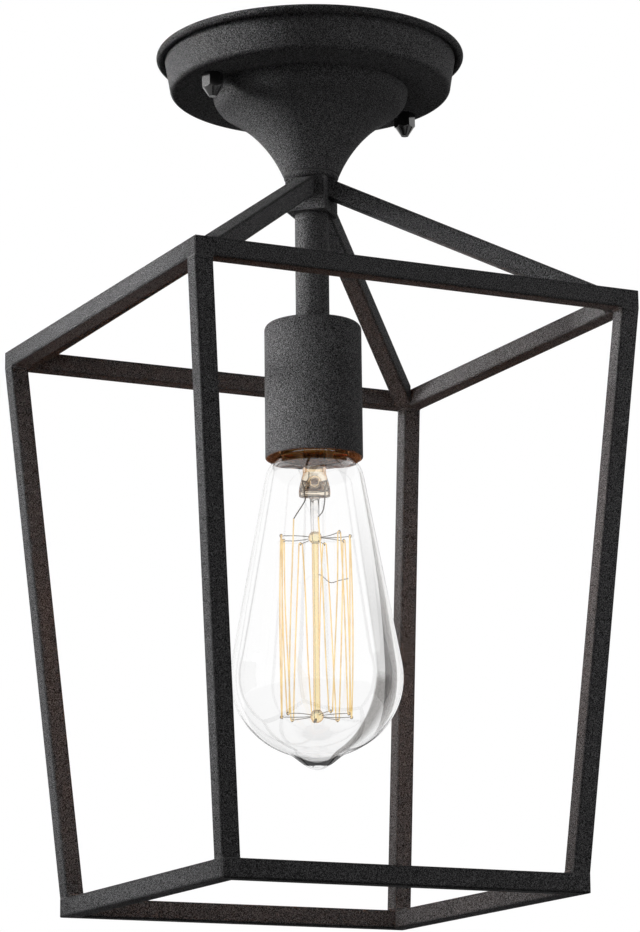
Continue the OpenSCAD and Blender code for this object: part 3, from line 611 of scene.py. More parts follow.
# %% Canopy pan
SHEET = 0.8
pan_low = level("canopy_pan", 0)
pan_rim_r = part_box("canopy_pan")[1][0] / MM
BEAD_R = 1.55
PAN_TOP_R, PAN_LOW_R, PAN_BEND, PAN_HOLE_R = 55.5, 53.5, 1.8, 34.65
RIM_LAND = 0.1    # the flat rim stands this far above the bead
bead_centre = (pan_rim_r - BEAD_R, -BEAD_R - RIM_LAND)
bend_centre = (PAN_LOW_R - PAN_BEND, pan_low + PAN_BEND)
pan_profile = outline(
    (PAN_TOP_R - SHEET, 0),
    (bead_centre[0] - 0.5, 0),
    arc(bead_centre, BEAD_R, 88, -176, 28),
    arc(bend_centre, PAN_BEND, 0, -90, 10),
    (PAN_HOLE_R, pan_low),
    (PAN_HOLE_R, pan_low + SHEET),
    arc(bend_centre, PAN_BEND - SHEET, -90, 0, 10),
)
coated("pan_shell", [revolve(pan_profile, 256)], 30, ["canopy_pan"])

# %% [markdown]
# The bell's side is a round shoulder that turns smoothly into a long flare. Close to the
# neck a fine groove runs round it, where the spinning tool trimmed the sheet.

# %% Canopy bell
bell_top, bell_low = level("canopy_bell", 1), level("canopy_bell", 0)
SHOULDER_R, SLOPE = 8.4, 60.0
NECK_R, NECK_EDGE, NECK_FLOOR, NIPPLE_HOLE_R = 10.4, 1.6, 1.5, 5.15
GROOVE_UP, GROOVE_H = 0.15, 0.8
GROOVE = ((0.32, 0.35), (0.3, 0.15), (0.0, 0.0))    # how far in from the neck, and how high
bell_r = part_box("canopy_bell")[1][0] / MM


def bell_side(inset):
    """Two tangent arcs: a shoulder from level to the steepest slope, and a flare whose radius
    follows from the drop and the narrowing that are left."""
    slope = math.radians(SLOPE)
    turn = np.array([math.cos(slope), -math.sin(slope)])
    centre = np.array([bell_r - SHOULDER_R, bell_top])
    joint = centre + SHOULDER_R * turn
    drop = joint[1] - (bell_low + NECK_EDGE)
    last = 2 * math.atan((joint[0] - NECK_R) / drop) - slope
    flare = drop / (math.sin(slope) - math.sin(last))
    return outline(
        arc(centre, SHOULDER_R - inset, 0, -SLOPE, 16),
        arc(joint + flare * turn, flare + inset, 180 - SLOPE, 180 - math.degrees(last), 32)[1:],
    )


def bell_profile():
    """Outside, groove, neck edge, floor, and the inside back up."""
    outside = bell_side(0)
    groove_low = bell_low + NECK_EDGE + GROOVE_UP
    keep = outside[outside[:, 1] > groove_low + GROOVE_H]
    neck = keep[-1]
    inside = bell_side(SHEET)
    inside = inside[inside[:, 1] > bell_low + NECK_FLOOR][::-1]
    return outline(
        keep,
        (neck[0] - 0.12, groove_low + 0.6),
        [(NECK_R - inset, groove_low + height) for inset, height in GROOVE],
        arc((NECK_R - NECK_EDGE, bell_low + NECK_EDGE), NECK_EDGE, 0, -90, 10),
        (NIPPLE_HOLE_R, bell_low),
        (NIPPLE_HOLE_R, bell_low + NECK_FLOOR),
        (inside[0][0], bell_low + NECK_FLOOR),
        inside,
    )


coated("bell_shell", [revolve(bell_profile(), 256)], 30, ["canopy_bell"])

# %% [markdown]
# ## Fixings in the canopy
# Two studs hang from the crossbar and carry the cap nuts. A hollow nipple clamps the bell to
# the cage's hub. A turned thread is the same surface for all of them: a radius that waves
# with height and angle, so that the crest climbs one pitch for each turn.

# %% Studs and nipples
STUD_R, STUD_DEPTH, STUD_PITCH = 2.0, 0.35, 0.7
stud_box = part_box("canopy_studs")
stud_place = (stud_box[1].x / MM - STUD_R, stud_box[1].y / MM - STUD_R)
stud_places = [stud_place, (-stud_place[0], -stud_place[1])]
studs = [
    threaded_rod(level("canopy_studs", 0), level("canopy_studs", 1), STUD_R, STUD_DEPTH,
                 STUD_PITCH, columns=24, centre=place)
    for place in stud_places
]
piece("stud_threads", studs, ZINC, FIXTURE, 60, ["canopy_studs"])

NIPPLE_R, NIPPLE_DEPTH, NIPPLE_BORE_R, NIPPLE_PITCH = 5.0, 0.45, 4.0, 1.0
for node in ("upper_nipple", "lower_nipple"):
    rod = threaded_rod(level(node, 0), level(node, 1), NIPPLE_R, NIPPLE_DEPTH, NIPPLE_PITCH,
                       columns=48, bore=NIPPLE_BORE_R)
    piece(node + "_thread", [rod], ZINC, FIXTURE, 60, [node])

# %% [markdown]
# ## Cage
# The cage is welded from square bar. The bars are good as the CAD model has them. What they
# lack is the welds: a small hollow bead in each inner corner, with the ripple of the torch.


# %% Weld beads
BAR = 7.0
FOOT_BEAD, HEAD_BEAD, ROOF_BEAD = 1.3, 1.0, 1.0    # how wide the beads are
RIPPLE, RIPPLE_STEP = 0.07, 1.1
BEAD_SINK = 0.15    # a bead's back lies this share of its width inside the bars
BEAD_GAP, BEAD_INSET = 0.02, 0.9    # off the post's face, and in from the ring's outside
ROOF_BEAD_LOW, ROOF_BEAD_HIGH = 6.6, 0.8    # below the top ring's upper face
CORNERS = ((-1, -1), (-1, 1), (1, -1), (1, 1))


def weld(start, end, side_a, side_b, size):
    """A bead along a corner. Its section is a hollow curve between the two faces, size wide.
    The torch's ripple makes it swell and shrink along its length, and both ends are round."""
    start, end = np.array(start, float), np.array(end, float)
    side_a, side_b = np.array(side_a, float), np.array(side_b, float)
    length = np.linalg.norm(end - start)
    u = np.linspace(0, 1, 25)[:, None]
    ripple = 1 - RIPPLE + RIPPLE * np.cos(TAU * u * length / RIPPLE_STEP)
    ends = np.sqrt(np.clip(1 - (2 * u - 1) ** 8, 0, 1))
    grow = (size * ripple * ends)[:, :, None]
    a = np.linspace(0, math.pi / 2, 7)
    across_a = np.concatenate([[1.0], 1 - np.sin(a), [-BEAD_SINK]])
    across_b = np.concatenate([[-BEAD_SINK], 1 - np.cos(a), [1.0]])
    section = across_a[:, None] * side_a + across_b[:, None] * side_b
    section = np.vstack([section, -BEAD_SINK * (side_a + side_b)])
    line = start + u * (end - start)
    return shell(line[:, None] + grow * section[None])


def ring_welds(z, half, up, size):
    """Beads along the two inner faces of each post, where it meets a ring at the level z."""
    inner, outer = half - BAR - BEAD_GAP, half - BEAD_INSET
    beads = []
    for sx, sy in CORNERS:
        corner_at = (sx * inner, sy * inner, z)
        beads.append(weld((sx * inner, sy * outer, z), corner_at, (-sx, 0, 0), (0, 0, up), size))
        beads.append(weld((sx * outer, sy * inner, z), corner_at, (0, -sy, 0), (0, 0, up), size))
    return beads


def roof_welds(top, inner):
    """Upright beads where each roof bar ends in a corner of the top ring, one on each side."""
    side = inner - BAR / math.sqrt(2)
    low, high = top - ROOF_BEAD_LOW, top - ROOF_BEAD_HIGH
    beads = []
    for sx, sy in CORNERS:
        for x, y, face, leave in ((inner, side, (-sx, 0, 0), (sx, -sy, 0)),
                                  (side, inner, (0, -sy, 0), (-sx, sy, 0))):
            beads.append(weld((sx * x, sy * y, low), (sx * x, sy * y, high),
                              face, np.array(leave) / math.sqrt(2), ROOF_BEAD))
    return beads


def cage_welds():
    """All beads: the posts in the bottom and top rings, and the roof bars' ends."""
    low_half = -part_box("bottom_rail_front")[0][1] / MM
    top_half = -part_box("top_rail_front")[0][1] / MM
    return (ring_welds(level("bottom_rail_front", 1), low_half, 1.0, FOOT_BEAD)
            + ring_welds(level("top_rail_front", 0), top_half, -1.0, HEAD_BEAD)
            + roof_welds(level("top_rail_front", 1), top_half - BAR))


coated("cage_welds", cage_welds(), 50)

# %% [markdown]
# ## Stem and socket cup
# The stem is plain tube, cut square. The cup is drawn from sheet: a round shoulder on top,
# a straight wall, and a rounded lower rim that frames the bulb's neck.

# %% Stem tube and cup
stem_low, stem_high = level("stem_tube", 0), level("stem_tube", 1)
STEM_R, STEM_BORE_R, STEM_BREAK = 6.35, 5.05, 0.35
stem_profile = outline(
    (STEM_BORE_R, stem_high), (STEM_R - STEM_BREAK, stem_high),
    (STEM_R, stem_high - STEM_BREAK), (STEM_R, stem_low + STEM_BREAK),
    (STEM_R - STEM_BREAK, stem_low), (STEM_BORE_R, stem_low),
)
coated("stem_shell", [revolve(stem_profile, 96)], 30, ["stem_tube"])

cup_low, cup_high = level("socket_cup", 0), level("socket_cup", 1)
CUP_R, CUP_SHEET, CUP_EDGE, CUP_LIP = 18.25, 1.0, 2.5, 0.5
cup_profile = outline(
    (NIPPLE_HOLE_R, cup_high),
    arc((CUP_R - CUP_EDGE, cup_high - CUP_EDGE), CUP_EDGE, 90, 0, 12),
    arc((CUP_R - CUP_LIP, cup_low + CUP_LIP), CUP_LIP, 0, -180, 10),
    arc((CUP_R - CUP_EDGE, cup_high - CUP_EDGE), CUP_EDGE - CUP_SHEET, 0, 90, 8),
    (NIPPLE_HOLE_R, cup_high - CUP_SHEET),
)
coated("cup_shell", [revolve(cup_profile, 192)], 30, ["socket_cup"])

# %% [markdown]
# ## Bulb base and screw shell
# The lamp's brass base and the lampholder's shell have the same rolled thread. Both shells
# use one wave, so the base's crests lie in the shell's grooves, also when the bulb turns.

# %% Screw base
PITCH, BASE_R, BASE_DEPTH, BASE_SHEET = 3.629, 13.1, 0.75, 0.3
BASE_FADE, BASE_TAPER, BASE_TOP_R = 1.6, 3.0, 10.5
base_low, base_high = level("bulb_base", 0), level("bulb_base", 1)
THREAD_LOW, THREAD_HIGH = base_low + 5.6, base_high - 2.6


def threaded_sheet(low, high, extra, sheet, top_r=None):
    """A sheet shell with the rolled thread pressed into it: the outside radius is
    BASE_R + extra - BASE_DEPTH * (1 - wave) * fade, and the inside lies one sheet behind it.
    With a top_r it also tapers to that radius at its top."""
    z = np.linspace(low, high, int((high - low) * 5))[:, None]
    t = np.linspace(0, TAU, 96, endpoint=False)[None, :]
    cut = BASE_DEPTH * (1 - thread_wave(z, t, PITCH)) * fade(z, THREAD_LOW, THREAD_HIGH, BASE_FADE)
    r = BASE_R + extra - cut
    if top_r is not None:
        taper = np.clip((z - (high - BASE_TAPER)) / BASE_TAPER, 0, 1)
        r = r * (1 - taper**1.5) + top_r * taper**1.5
    return around(r, z, t), around(r - sheet, z, t)[::-1]


base_out, base_in = threaded_sheet(base_low, base_high, 0.0, BASE_SHEET, BASE_TOP_R)
pole = base_in[:1] * 0 + np.array([0, 0, base_high])
base_grid = np.concatenate([base_out, pole, pole - [0, 0, BASE_SHEET], base_in])
piece("screw_base", [shell(base_grid, wrap_rows=True)], BRASS, BULB, 45,
      ["bulb_base"])

# %% Lampholder shell
HOLDER_DEPTH, SHELL_OUTSET, CONTACT = 25.0, 0.5, 0.4
FLANGE_R, FLANGE_HOLE_R = 13.5, 6.0
RIVET_Y, RIVET_R, RIVET_HEAD = 9.0, 1.25, 0.5
shell_low, shell_high = level("screw_shell", 0), level("lampholder_body", 0) + HOLDER_DEPTH
shell_out, shell_in = threaded_sheet(shell_low, shell_high, SHELL_OUTSET, CONTACT)
holder = shell(np.concatenate([shell_out, shell_in]), wrap_rows=True)
flange_low = shell_high - CONTACT
flange = revolve(outline((FLANGE_R, shell_high), (FLANGE_HOLE_R, shell_high),
                         (FLANGE_HOLE_R, flange_low), (FLANGE_R, flange_low)), 64)
rivet_low, rivet_high = shell_high - 0.9, level("screw_shell", 1) + RIVET_HEAD
rivet_profile = outline(
    (0, rivet_low), (1.6, rivet_low + 0.2), (1.9, flange_low), (RIVET_R, flange_low),
    (RIVET_R, rivet_high - RIVET_HEAD), (1.8, rivet_high - RIVET_HEAD),
    (1.3, rivet_high), (0, rivet_high),
)
rivet = revolve(rivet_profile, 24, closed=False, centre=(0, -RIVET_Y))
piece("holder_shell", [holder, flange, rivet], BRASS, FIXTURE, 45,
      ["screw_shell"])

# %% [markdown]
# ## Leads
# The two leads run up the stem and bend out into the canopy, ready for the house wires. The
# insulation is a smooth tube. The bare ends are seven strands twisted together.


# %% Insulation and strands
X_AXIS = np.array([1.0, 0, 0])
LEAD_AWAY, LEAD_R, LEAD_RUN = 2.2, 1.1, 26.0    # off the axis, its radius, its straight end
BEND_LEVEL, BEND_R, BEND_ANGLE = -41.0, 14.0, 50
BARE_END, BARE_D, TUCK = 9.0, 1.2, 0.5    # TUCK is how deep the copper sits in the jacket
STRAND_LAY = 6.0    # a strand winds round once in this length


def lead_route(node, side):
    """The lead's centre line: up at a fixed distance from the axis, an arc, and a straight
    run that leans outwards, all in the plane x = 0."""
    bend = math.radians(BEND_ANGLE)
    a = np.linspace(0, bend, 16)
    rise = np.linspace(level(node, 0), BEND_LEVEL, 30)[:-1]
    y = np.concatenate([rise * 0 + LEAD_AWAY, LEAD_AWAY + BEND_R * (1 - np.cos(a))])
    z = np.concatenate([rise, BEND_LEVEL + BEND_R * np.sin(a)])
    s = np.linspace(0, LEAD_RUN, 14)[1:]
    y = np.concatenate([y, y[-1] + s * math.sin(bend)])
    z = np.concatenate([z, z[-1] + s * math.cos(bend)])
    return np.stack([0 * y, side * y, z], axis=1)


def twisted(start, end):
    """Seven strands: one in the middle and six that wind round it, one turn for each lay."""
    start, end = np.array(start, float), np.array(end, float)
    length = np.linalg.norm(end - start)
    u = np.linspace(0, 1, 20)[:, None]
    line = start + u * (end - start)
    across = np.cross((end - start) / length, X_AXIS)
    strand_r = BARE_D / 6
    strands = [wire(line, strand_r, 6, X_AXIS)]
    for k in range(6):
        a = TAU * (k / 6 + u * (length / STRAND_LAY))
        wound = line + 2 * strand_r * (np.cos(a) * X_AXIS + np.sin(a) * across)
        strands.append(wire(wound, strand_r, 6, X_AXIS))
    return strands


tips = []
for node, side, material in (("line_lead", 1, BLACK_PVC), ("neutral_lead", -1, WHITE_PVC)):
    route = lead_route(node, side)
    jacket = wire(route, LEAD_R, 16, X_AXIS)
    piece(node + "_jacket", [jacket], material, FIXTURE, 60, [node])
    run = (route[-1] - route[-2]) / np.linalg.norm(route[-1] - route[-2])
    tips += twisted(route[-1] - run * TUCK, route[-1] + run * BARE_END)
    foot = route[0]
    tips += twisted((0, foot[1], level("lead_tips", 0)), (0, foot[1], foot[2] + TUCK))
piece("twisted_strands", tips, COPPER, FIXTURE, 60, ["lead_tips"])

# %% [markdown]
# ## Bulb
# The glass is a long pear with a small sealed tip, blown thin. Its outline is a neck, a round
# shoulder, a straight taper, and a belly that closes to the tip where the bulb was sealed.

# %% Glass envelope
bulb_low, glass_high = level("bulb_glass", 0), level("bulb_glass", 1)
BELLY_R, BELLY_LOW, GLASS_T = 32.0, 29.7, 0.55
NECK_GLASS_R, SHOULDER_ARC_R, SHOULDER_SLOPE, SHOULDER_DROP = 12.6, 11.3, 62.0, 17.95
TIP_HEIGHT, TIP_R, TIP_INSIDE = 4.3, 11.0, 0.72
belly_level = bulb_low + TIP_HEIGHT + BELLY_LOW


def glass_outline(inset, tip):
    """Neck, shoulder arc, straight taper, belly arc, and a half ellipse down to the axis,
    with a tip that hangs down as (1 - (r / TIP_R)^2)^2. The taper is the common tangent of
    the shoulder's circle and the belly's."""
    shoulder_x = NECK_GLASS_R - SHOULDER_ARC_R * math.cos(math.radians(SHOULDER_SLOPE))
    shoulder = (shoulder_x, glass_high - SHOULDER_DROP)
    rise = shoulder[1] - belly_level
    turn = math.acos((BELLY_R - SHOULDER_ARC_R) / math.hypot(shoulder_x, rise))
    slope = math.degrees(math.atan2(rise, shoulder_x) - turn)
    side = arc(shoulder, SHOULDER_ARC_R - inset, SHOULDER_SLOPE, slope, 16)
    belly = arc((0, belly_level), BELLY_R - inset, slope, 0, 10)
    taper = side[-1] + np.linspace(0, 1, 24)[1:-1, None] * (belly[0] - side[-1])
    a = np.radians(np.linspace(0, 90, 49))[1:, None]
    x = (BELLY_R - inset) * np.cos(a) * (a < math.pi / 2)
    bump_out = TIP_HEIGHT * np.clip(1 - (x / TIP_R) ** 2, 0, 1) ** 2
    z = belly_level - (BELLY_LOW - inset) * np.sin(a) - tip * bump_out
    return outline((NECK_GLASS_R - inset, glass_high), side, taper, belly, np.hstack([x, z]))


envelope = outline(glass_outline(0.0, 1.0), glass_outline(GLASS_T, TIP_INSIDE)[::-1])
glass = piece("glass_envelope", [revolve(envelope, 256)], GLASS, BULB, 30,
              ["bulb_glass"])
glass.visible_shadow = False

# %% [markdown]
# ## The mount inside the bulb
# A flared tube is sealed into the neck. Its end is pinched flat round the two lead wires, and
# a glass rod with two beads hangs from it. The tube and press are one loft: at each level
# the section is a rounded rectangle whose width and thickness change smoothly.

# %% Glass mount
mount_top, mount_low = level("bulb_mount", 1), level("bulb_mount", 0)
PRESS_DROP, PRESS_H = 24.4, 8.5
press_low = mount_top - PRESS_DROP
press_high = press_low + PRESS_H
PRESS_TURN = math.radians(-26)
PRESS_ACROSS = np.array([math.cos(PRESS_TURN), math.sin(PRESS_TURN), 0.0])
TUBE_R, TUBE_WALL, TUBE_FLOOR = 3.6, 0.8, 0.6
FLARE_R, FLARE_RIM_R, FLARE_H = 11.3, 12.2, 6
ROUND, FLAT = 2.0, 2.6    # how square a section is: 2 is an ellipse


def loft(levels, widths, depths, squareness):
    """A turned stack of rounded sections: x = w * sgn(cos t) |cos t|^(2/n), y the same with
    its depth and sine, all turned to the press's angle."""
    t = np.linspace(0, TAU, 64, endpoint=False)[None, :]
    power = 2 / np.array(squareness, float)[:, None]
    x = np.array(widths, float)[:, None] * np.sign(np.cos(t)) * np.abs(np.cos(t)) ** power
    y = np.array(depths, float)[:, None] * np.sign(np.sin(t)) * np.abs(np.sin(t)) ** power
    c, s = math.cos(PRESS_TURN), math.sin(PRESS_TURN)
    z = np.array(levels, float)[:, None] + 0 * x
    return np.stack([c * x - s * y, s * x + c * y, z], axis=-1)


def mount_glass():
    """The inside from the press's top up to the flare, over the rim, and down the outside."""
    u = np.linspace(0, 1, 14)
    ease = u * u * (3 - 2 * u)
    inner_z = press_high + TUBE_FLOOR + u * (mount_top - 0.2 - press_high - TUBE_FLOOR)
    flare = np.clip((inner_z - (mount_top - FLARE_H)) / FLARE_H, 0, 1) ** 1.6
    inner_r = TUBE_R + (FLARE_R - TUBE_R) * flare
    outer_z = inner_z[::-1] - 0.3
    outer_r = inner_r[::-1] + TUBE_WALL
    press_z = press_high - (press_high - press_low - 0.6) * u[1:]
    press_w = 4.6 + 1.2 * ease[1:] + 0.35 * np.sin(math.pi * u[1:])
    press_d = 4.4 - 2.3 * ease[1:]
    foot_z = press_low + np.array([0.3, 0.08, 0.0, 0.0])
    foot_w = np.array([5.6, 5.1, 4.2, 0.0])
    foot_d = np.array([1.9, 1.5, 0.9, 0.0])
    tube_floor = [press_high + TUBE_FLOOR]
    z = np.concatenate([tube_floor, inner_z, [mount_top], outer_z, press_z, foot_z])
    w = np.concatenate([[0.0], inner_r, [FLARE_RIM_R], outer_r, press_w, foot_w])
    d = np.concatenate([[0.0], inner_r, [FLARE_RIM_R], outer_r, press_d, foot_d])
    flat_rows = len(press_z) + len(foot_z)
    n = np.concatenate([np.full(len(z) - flat_rows, ROUND), np.full(flat_rows, FLAT)])
    return shell(loft(z, w, d, n))


ROD_R, ROD_END_R, ROD_NECK_R, BEAD_SIZE, BEAD_SPACING = 1.75, 1.6, 1.3, 2.5, 66.8
upper_bead, lower_bead = mount_low + BEAD_SIZE + BEAD_SPACING, mount_low + BEAD_SIZE
bead_join = math.degrees(math.acos(ROD_NECK_R / BEAD_SIZE))
bead_top = math.degrees(math.acos(ROD_END_R / BEAD_SIZE))
rod_profile = outline(
    (0, lower_bead - BEAD_SIZE),
    arc((0, lower_bead), BEAD_SIZE, -80, bead_join, 14),
    (ROD_NECK_R, lower_bead + 4),
    (1.15, (lower_bead + upper_bead) / 2),
    (ROD_NECK_R, upper_bead - 4),
    arc((0, upper_bead), BEAD_SIZE, -bead_join, bead_top, 14),
    (ROD_END_R, upper_bead + 4),
    (ROD_R, press_low - 0.8),
    (2.3, press_low + 0.4),
    (0, press_low + 0.6),
)
rod = revolve(rod_profile, 40, closed=False)


def exhaust_rim():
    """The rim of the hole through which the bulb was pumped out: an upright ring on the
    press's front."""
    ring_r, thick_r, stand_off, height = 1.9, 0.55, 2.2, 5.6
    a = np.linspace(0, TAU, 33)[:, None]
    front = np.array([PRESS_ACROSS[1], -PRESS_ACROSS[0], 0.0])
    middle = stand_off * front + [0, 0, press_low + height]
    path = middle + ring_r * (np.cos(a) * PRESS_ACROSS + np.sin(a) * [0, 0, 1.0])
    return wire(path, thick_r, 10, front)


mount_finish = mount_glass_finish(upper_bead * MM, press_low * MM)
mount = piece("glass_mount", [mount_glass(), rod, exhaust_rim()], mount_finish, BULB,
              40, ["bulb_mount"])
mount.visible_shadow = False

# %% [markdown]
# ## Filament and its wires
# The filament is one long wire that zigzags between two stars of thin hooks. Each hook
# starts in a glass bead and ends in a small curl that holds the wire.

# %% Filament
HOOKS, FILAMENT_R, FILAMENT_TURN, FILAMENT_ARC, END_RISE = 8, 13.0, 246.0, 324.0, 5.0
WIRE_R, HOOK_WIRE_R, FEEDER_R = 0.25, 0.16, 0.24
HOOK_STATIONS, CURL_R = (1.8, 4, 6.5, 9, 11, 12.3), 0.55
strand_count = 2 * HOOKS
shake = np.random.default_rng(7)


def corner(k, side=0.0, beyond=0.0):
    """The place of corner k: even ones at the upper bead's level, odd ones at the lower, and
    the two ends higher up. Side turns it off its hook, and beyond moves it past the hook."""
    a = math.radians(FILAMENT_TURN + FILAMENT_ARC * k / strand_count + side)
    top = upper_bead + (END_RISE if k in (0, strand_count) else beyond)
    z = top if k % 2 == 0 else lower_bead - beyond
    return np.array([FILAMENT_R * math.cos(a), FILAMENT_R * math.sin(a), z])


def strand(k):
    """From hook k to hook k + 1: a straight run with a little sag outwards, and a half loop
    over the hook at each end."""
    a, b = corner(k, 3.0), corner(k + 1, -3.0)
    u = np.linspace(0, 1, 15)[:, None]
    bow = np.array([a[0] + b[0], a[1] + b[1], 0.0])
    bow *= shake.uniform(0.1, 0.9) / np.linalg.norm(bow)
    sway = np.array([-bow[1], bow[0], 0]) * shake.uniform(-0.8, 0.8)
    line = a + u * (b - a) + np.sin(math.pi * u) * bow + np.sin(TAU * u) * sway * 0.5
    over = [corner(k, 1.6, 0.3)] if k else []
    under = [corner(k + 1, -1.6, 0.3)] if k < strand_count - 1 else []
    return np.vstack(over + [line] + under)


filament_path = np.vstack([strand(k) for k in range(strand_count)])
outward = filament_path * [1, 1, 0]
outward /= np.linalg.norm(outward, axis=1, keepdims=True)
piece("filament_wire", [wire(filament_path, WIRE_R, 8, outward)], GLOW, BULB,
      60, ["bulb_filament"])
filament_steps = np.linalg.norm(np.diff(filament_path, axis=0), axis=1)
print("filament length", round(float(filament_steps.sum())), "mm")


# %% Support hooks
def hook(k):
    """A slightly sagging wire out of its bead that ends in a curl round the strand."""
    end = corner(k)
    out = end * [1, 1, 0] / FILAMENT_R
    up = np.array([0, 0, 1.0 if k % 2 == 0 else -1.0])
    level_at = np.array([0, 0, end[2]])
    sag = shake.uniform(-0.5, 0.5)
    run = [level_at + out * r + up * sag * math.sin(r / FILAMENT_R * math.pi)
           for r in HOOK_STATIONS]
    a = np.radians(np.linspace(-90, 150, 9))
    curl = [end + out * (CURL_R * math.cos(v)) + up * (CURL_R * math.sin(v) + 0.1) for v in a]
    return wire(smooth_path(run + curl, 40), HOOK_WIRE_R, 6, np.cross(out, up))


def middle_hook():
    """One loose wire that leaves the rod 14 mm below the upper bead, dips, and steadies the
    strands on the right."""
    a = math.radians(FILAMENT_TURN + 75)
    out = np.array([math.cos(a), math.sin(a), 0.0])
    side = np.array([-out[1], out[0], 0.0])
    stations = ((1.0, 0.0, 14.0), (2.5, 0.0, 14.6), (5.5, 0.4, 17.2), (9.0, 0.2, 16.6),
                (12.4, -0.3, 16.2))
    path = [r * out + shift * side + [0, 0, upper_bead - drop] for r, shift, drop in stations]
    return wire(smooth_path(path, 30), HOOK_WIRE_R, 6, side)


for name, node, first, more in (("upper_hooks", "bulb_upper_supports", 2, [middle_hook()]),
                                ("lower_hooks", "bulb_lower_supports", 1, [])):
    hooks = [hook(k) for k in range(first, strand_count, 2)]
    piece(name, hooks + more, NICKEL, BULB, 60, [node])


# %% Lead wires
def feeder(end):
    """From inside the press, out of its lower edge, and in a slack curve to the filament."""
    side = 1 if end == 0 else -1
    stop = corner(end * strand_count, side * 3.0)
    foot = side * 3.7 * PRESS_ACROSS
    levels = np.array([5.0, 1.0, -1.2])
    run = [foot + [0, 0, press_low + z] for z in levels]
    middle = 0.5 * (run[-1] + stop) + [0, 0, -0.8] + 0.5 * side * PRESS_ACROSS
    square = np.cross(PRESS_ACROSS, [0, 0, 1.0])
    return wire(smooth_path(run + [middle, stop], 40), FEEDER_R, 8, square)


piece("feeder_wires", [feeder(0), feeder(1)], NICKEL, BULB, 60,
      ["bulb_lead_wires"])

# %% [markdown]
# ## Finishes for the CAD parts
# The other nodes keep their CAD shape and only get a better material.

# %% Assign materials
CAD_FINISH = {
    "mounting_crossbar": ZINC, "stud_lock_nuts": ZINC, "bell_washer": ZINC,
    "bell_lock_nut": ZINC, "cup_lock_nut": ZINC, "ground_screw": GREEN,
    "ground_lead": COPPER, "lampholder_body": PHENOLIC, "centre_contact": BRASS,
    "bulb_end_contact": SOLDER, "bulb_insulator": VITRITE,
    "left_cap_nut": ENAMEL, "right_cap_nut": ENAMEL,
}
for name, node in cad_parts.items():
    for slot in node.material_slots:
        slot.material = CAD_FINISH.get(name, POWDER)
print("CAD nodes:", len(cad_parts))

# %% [markdown]
# ## Studio
# The photograph has a plain white ground. The world shows white to the camera, in
# reflections and through glass, and lights the lantern only softly. The bright left faces
# come from a soft light behind on the left, a near one beside the cage, which has faded
# before it reaches the far side, and a narrow one on the canopy. The lit bulb glows warmly.
# The floor is a porch floor, 2.4 m below the ceiling.


# %% World
def studio_world(ambient):
    """White to camera, glossy and transmission rays; a dim grey to all others."""
    world = bpy.data.worlds.new("studio")
    world.use_nodes = True
    world.node_tree.nodes.clear()
    tree = Tree(world.node_tree)
    colour = tree.mix(tree.seen_directly(), (ambient, ambient, ambient, 1), (1, 1, 1, 1))
    light = tree.add("ShaderNodeBackground", {"Color": colour, "Strength": 1.0})
    tree.add("ShaderNodeOutputWorld", {"Surface": light.outputs[0]})
    bpy.context.scene.world = world


studio_world(0.015)
bpy.context.scene.view_settings.view_transform = "Standard"


# %% Floor
def floor_material():
    """Pale paper with a faint fibre. The camera and reflections see it paler than it is lit."""
    made, tree, shader, where = finish("pale_floor", **{"Emission Color": (1, 1, 1, 1)})
    feed(tree, shader, Emission_Strength=tree.times(tree.seen_directly(), 0.6))
    fibre = tree.noise(where, 300.0, 3.0)
    tint = tree.mix(fibre, (0.78, 0.78, 0.78, 1), (0.84, 0.84, 0.84, 1))
    feed(tree, shader, Base_Color=tint, Roughness=tree.ramp(fibre, 0.3, 0.7, 0.7, 0.9))
    return made


def porch_floor(z, half):
    """A flat square of paper. It takes the shadow but gives the undersides no light."""
    u, v = np.meshgrid(np.linspace(-1, 1, 3), np.linspace(-1, 1, 3), indexing="ij")
    points = np.stack([u * half, v * half, 0 * u + z], axis=-1).reshape(-1, 3)
    faces = grid_faces(3, 3, False, False)
    floor = add_object("floor", add_mesh("floor", points, faces, floor_material()))
    floor.visible_diffuse = False


porch_floor(-2.4, 9.0)


# %% Lights
MIDDLE = (0, 0, -0.16)    # where the lights point, unless they have another target
GLOW_COLOUR, GLOW_R = (1.0, 0.32, 0.08), 0.004


def soft_light(name, place, width, height, power, mirrored=False, spread=180.0, target=None):
    """A rectangular soft light that faces the target. Only a mirrored one shows in gloss. A
    grid before it can narrow its spread, in degrees."""
    data = bpy.data.lights.new(name, "AREA")
    data.shape, data.size, data.size_y, data.energy = "RECTANGLE", width, height, power
    data.spread = math.radians(spread)
    lamp = add_object(name, data)
    lamp.location, lamp.visible_glossy = place, mirrored
    lamp.visible_camera = lamp.visible_transmission = False
    away = Vector(place) - Vector(target or MIDDLE)
    lamp.rotation_euler = away.to_track_quat("Z", "Y").to_euler()


def glow_light(name, z, power):
    """A small warm light on the axis, for the glow that the filament throws."""
    data = bpy.data.lights.new(name, "POINT")
    data.energy, data.color, data.shadow_soft_size = power, GLOW_COLOUR, GLOW_R
    lamp = add_object(name, data)
    lamp.location = (0, 0, z)
    lamp.visible_glossy = lamp.visible_transmission = False


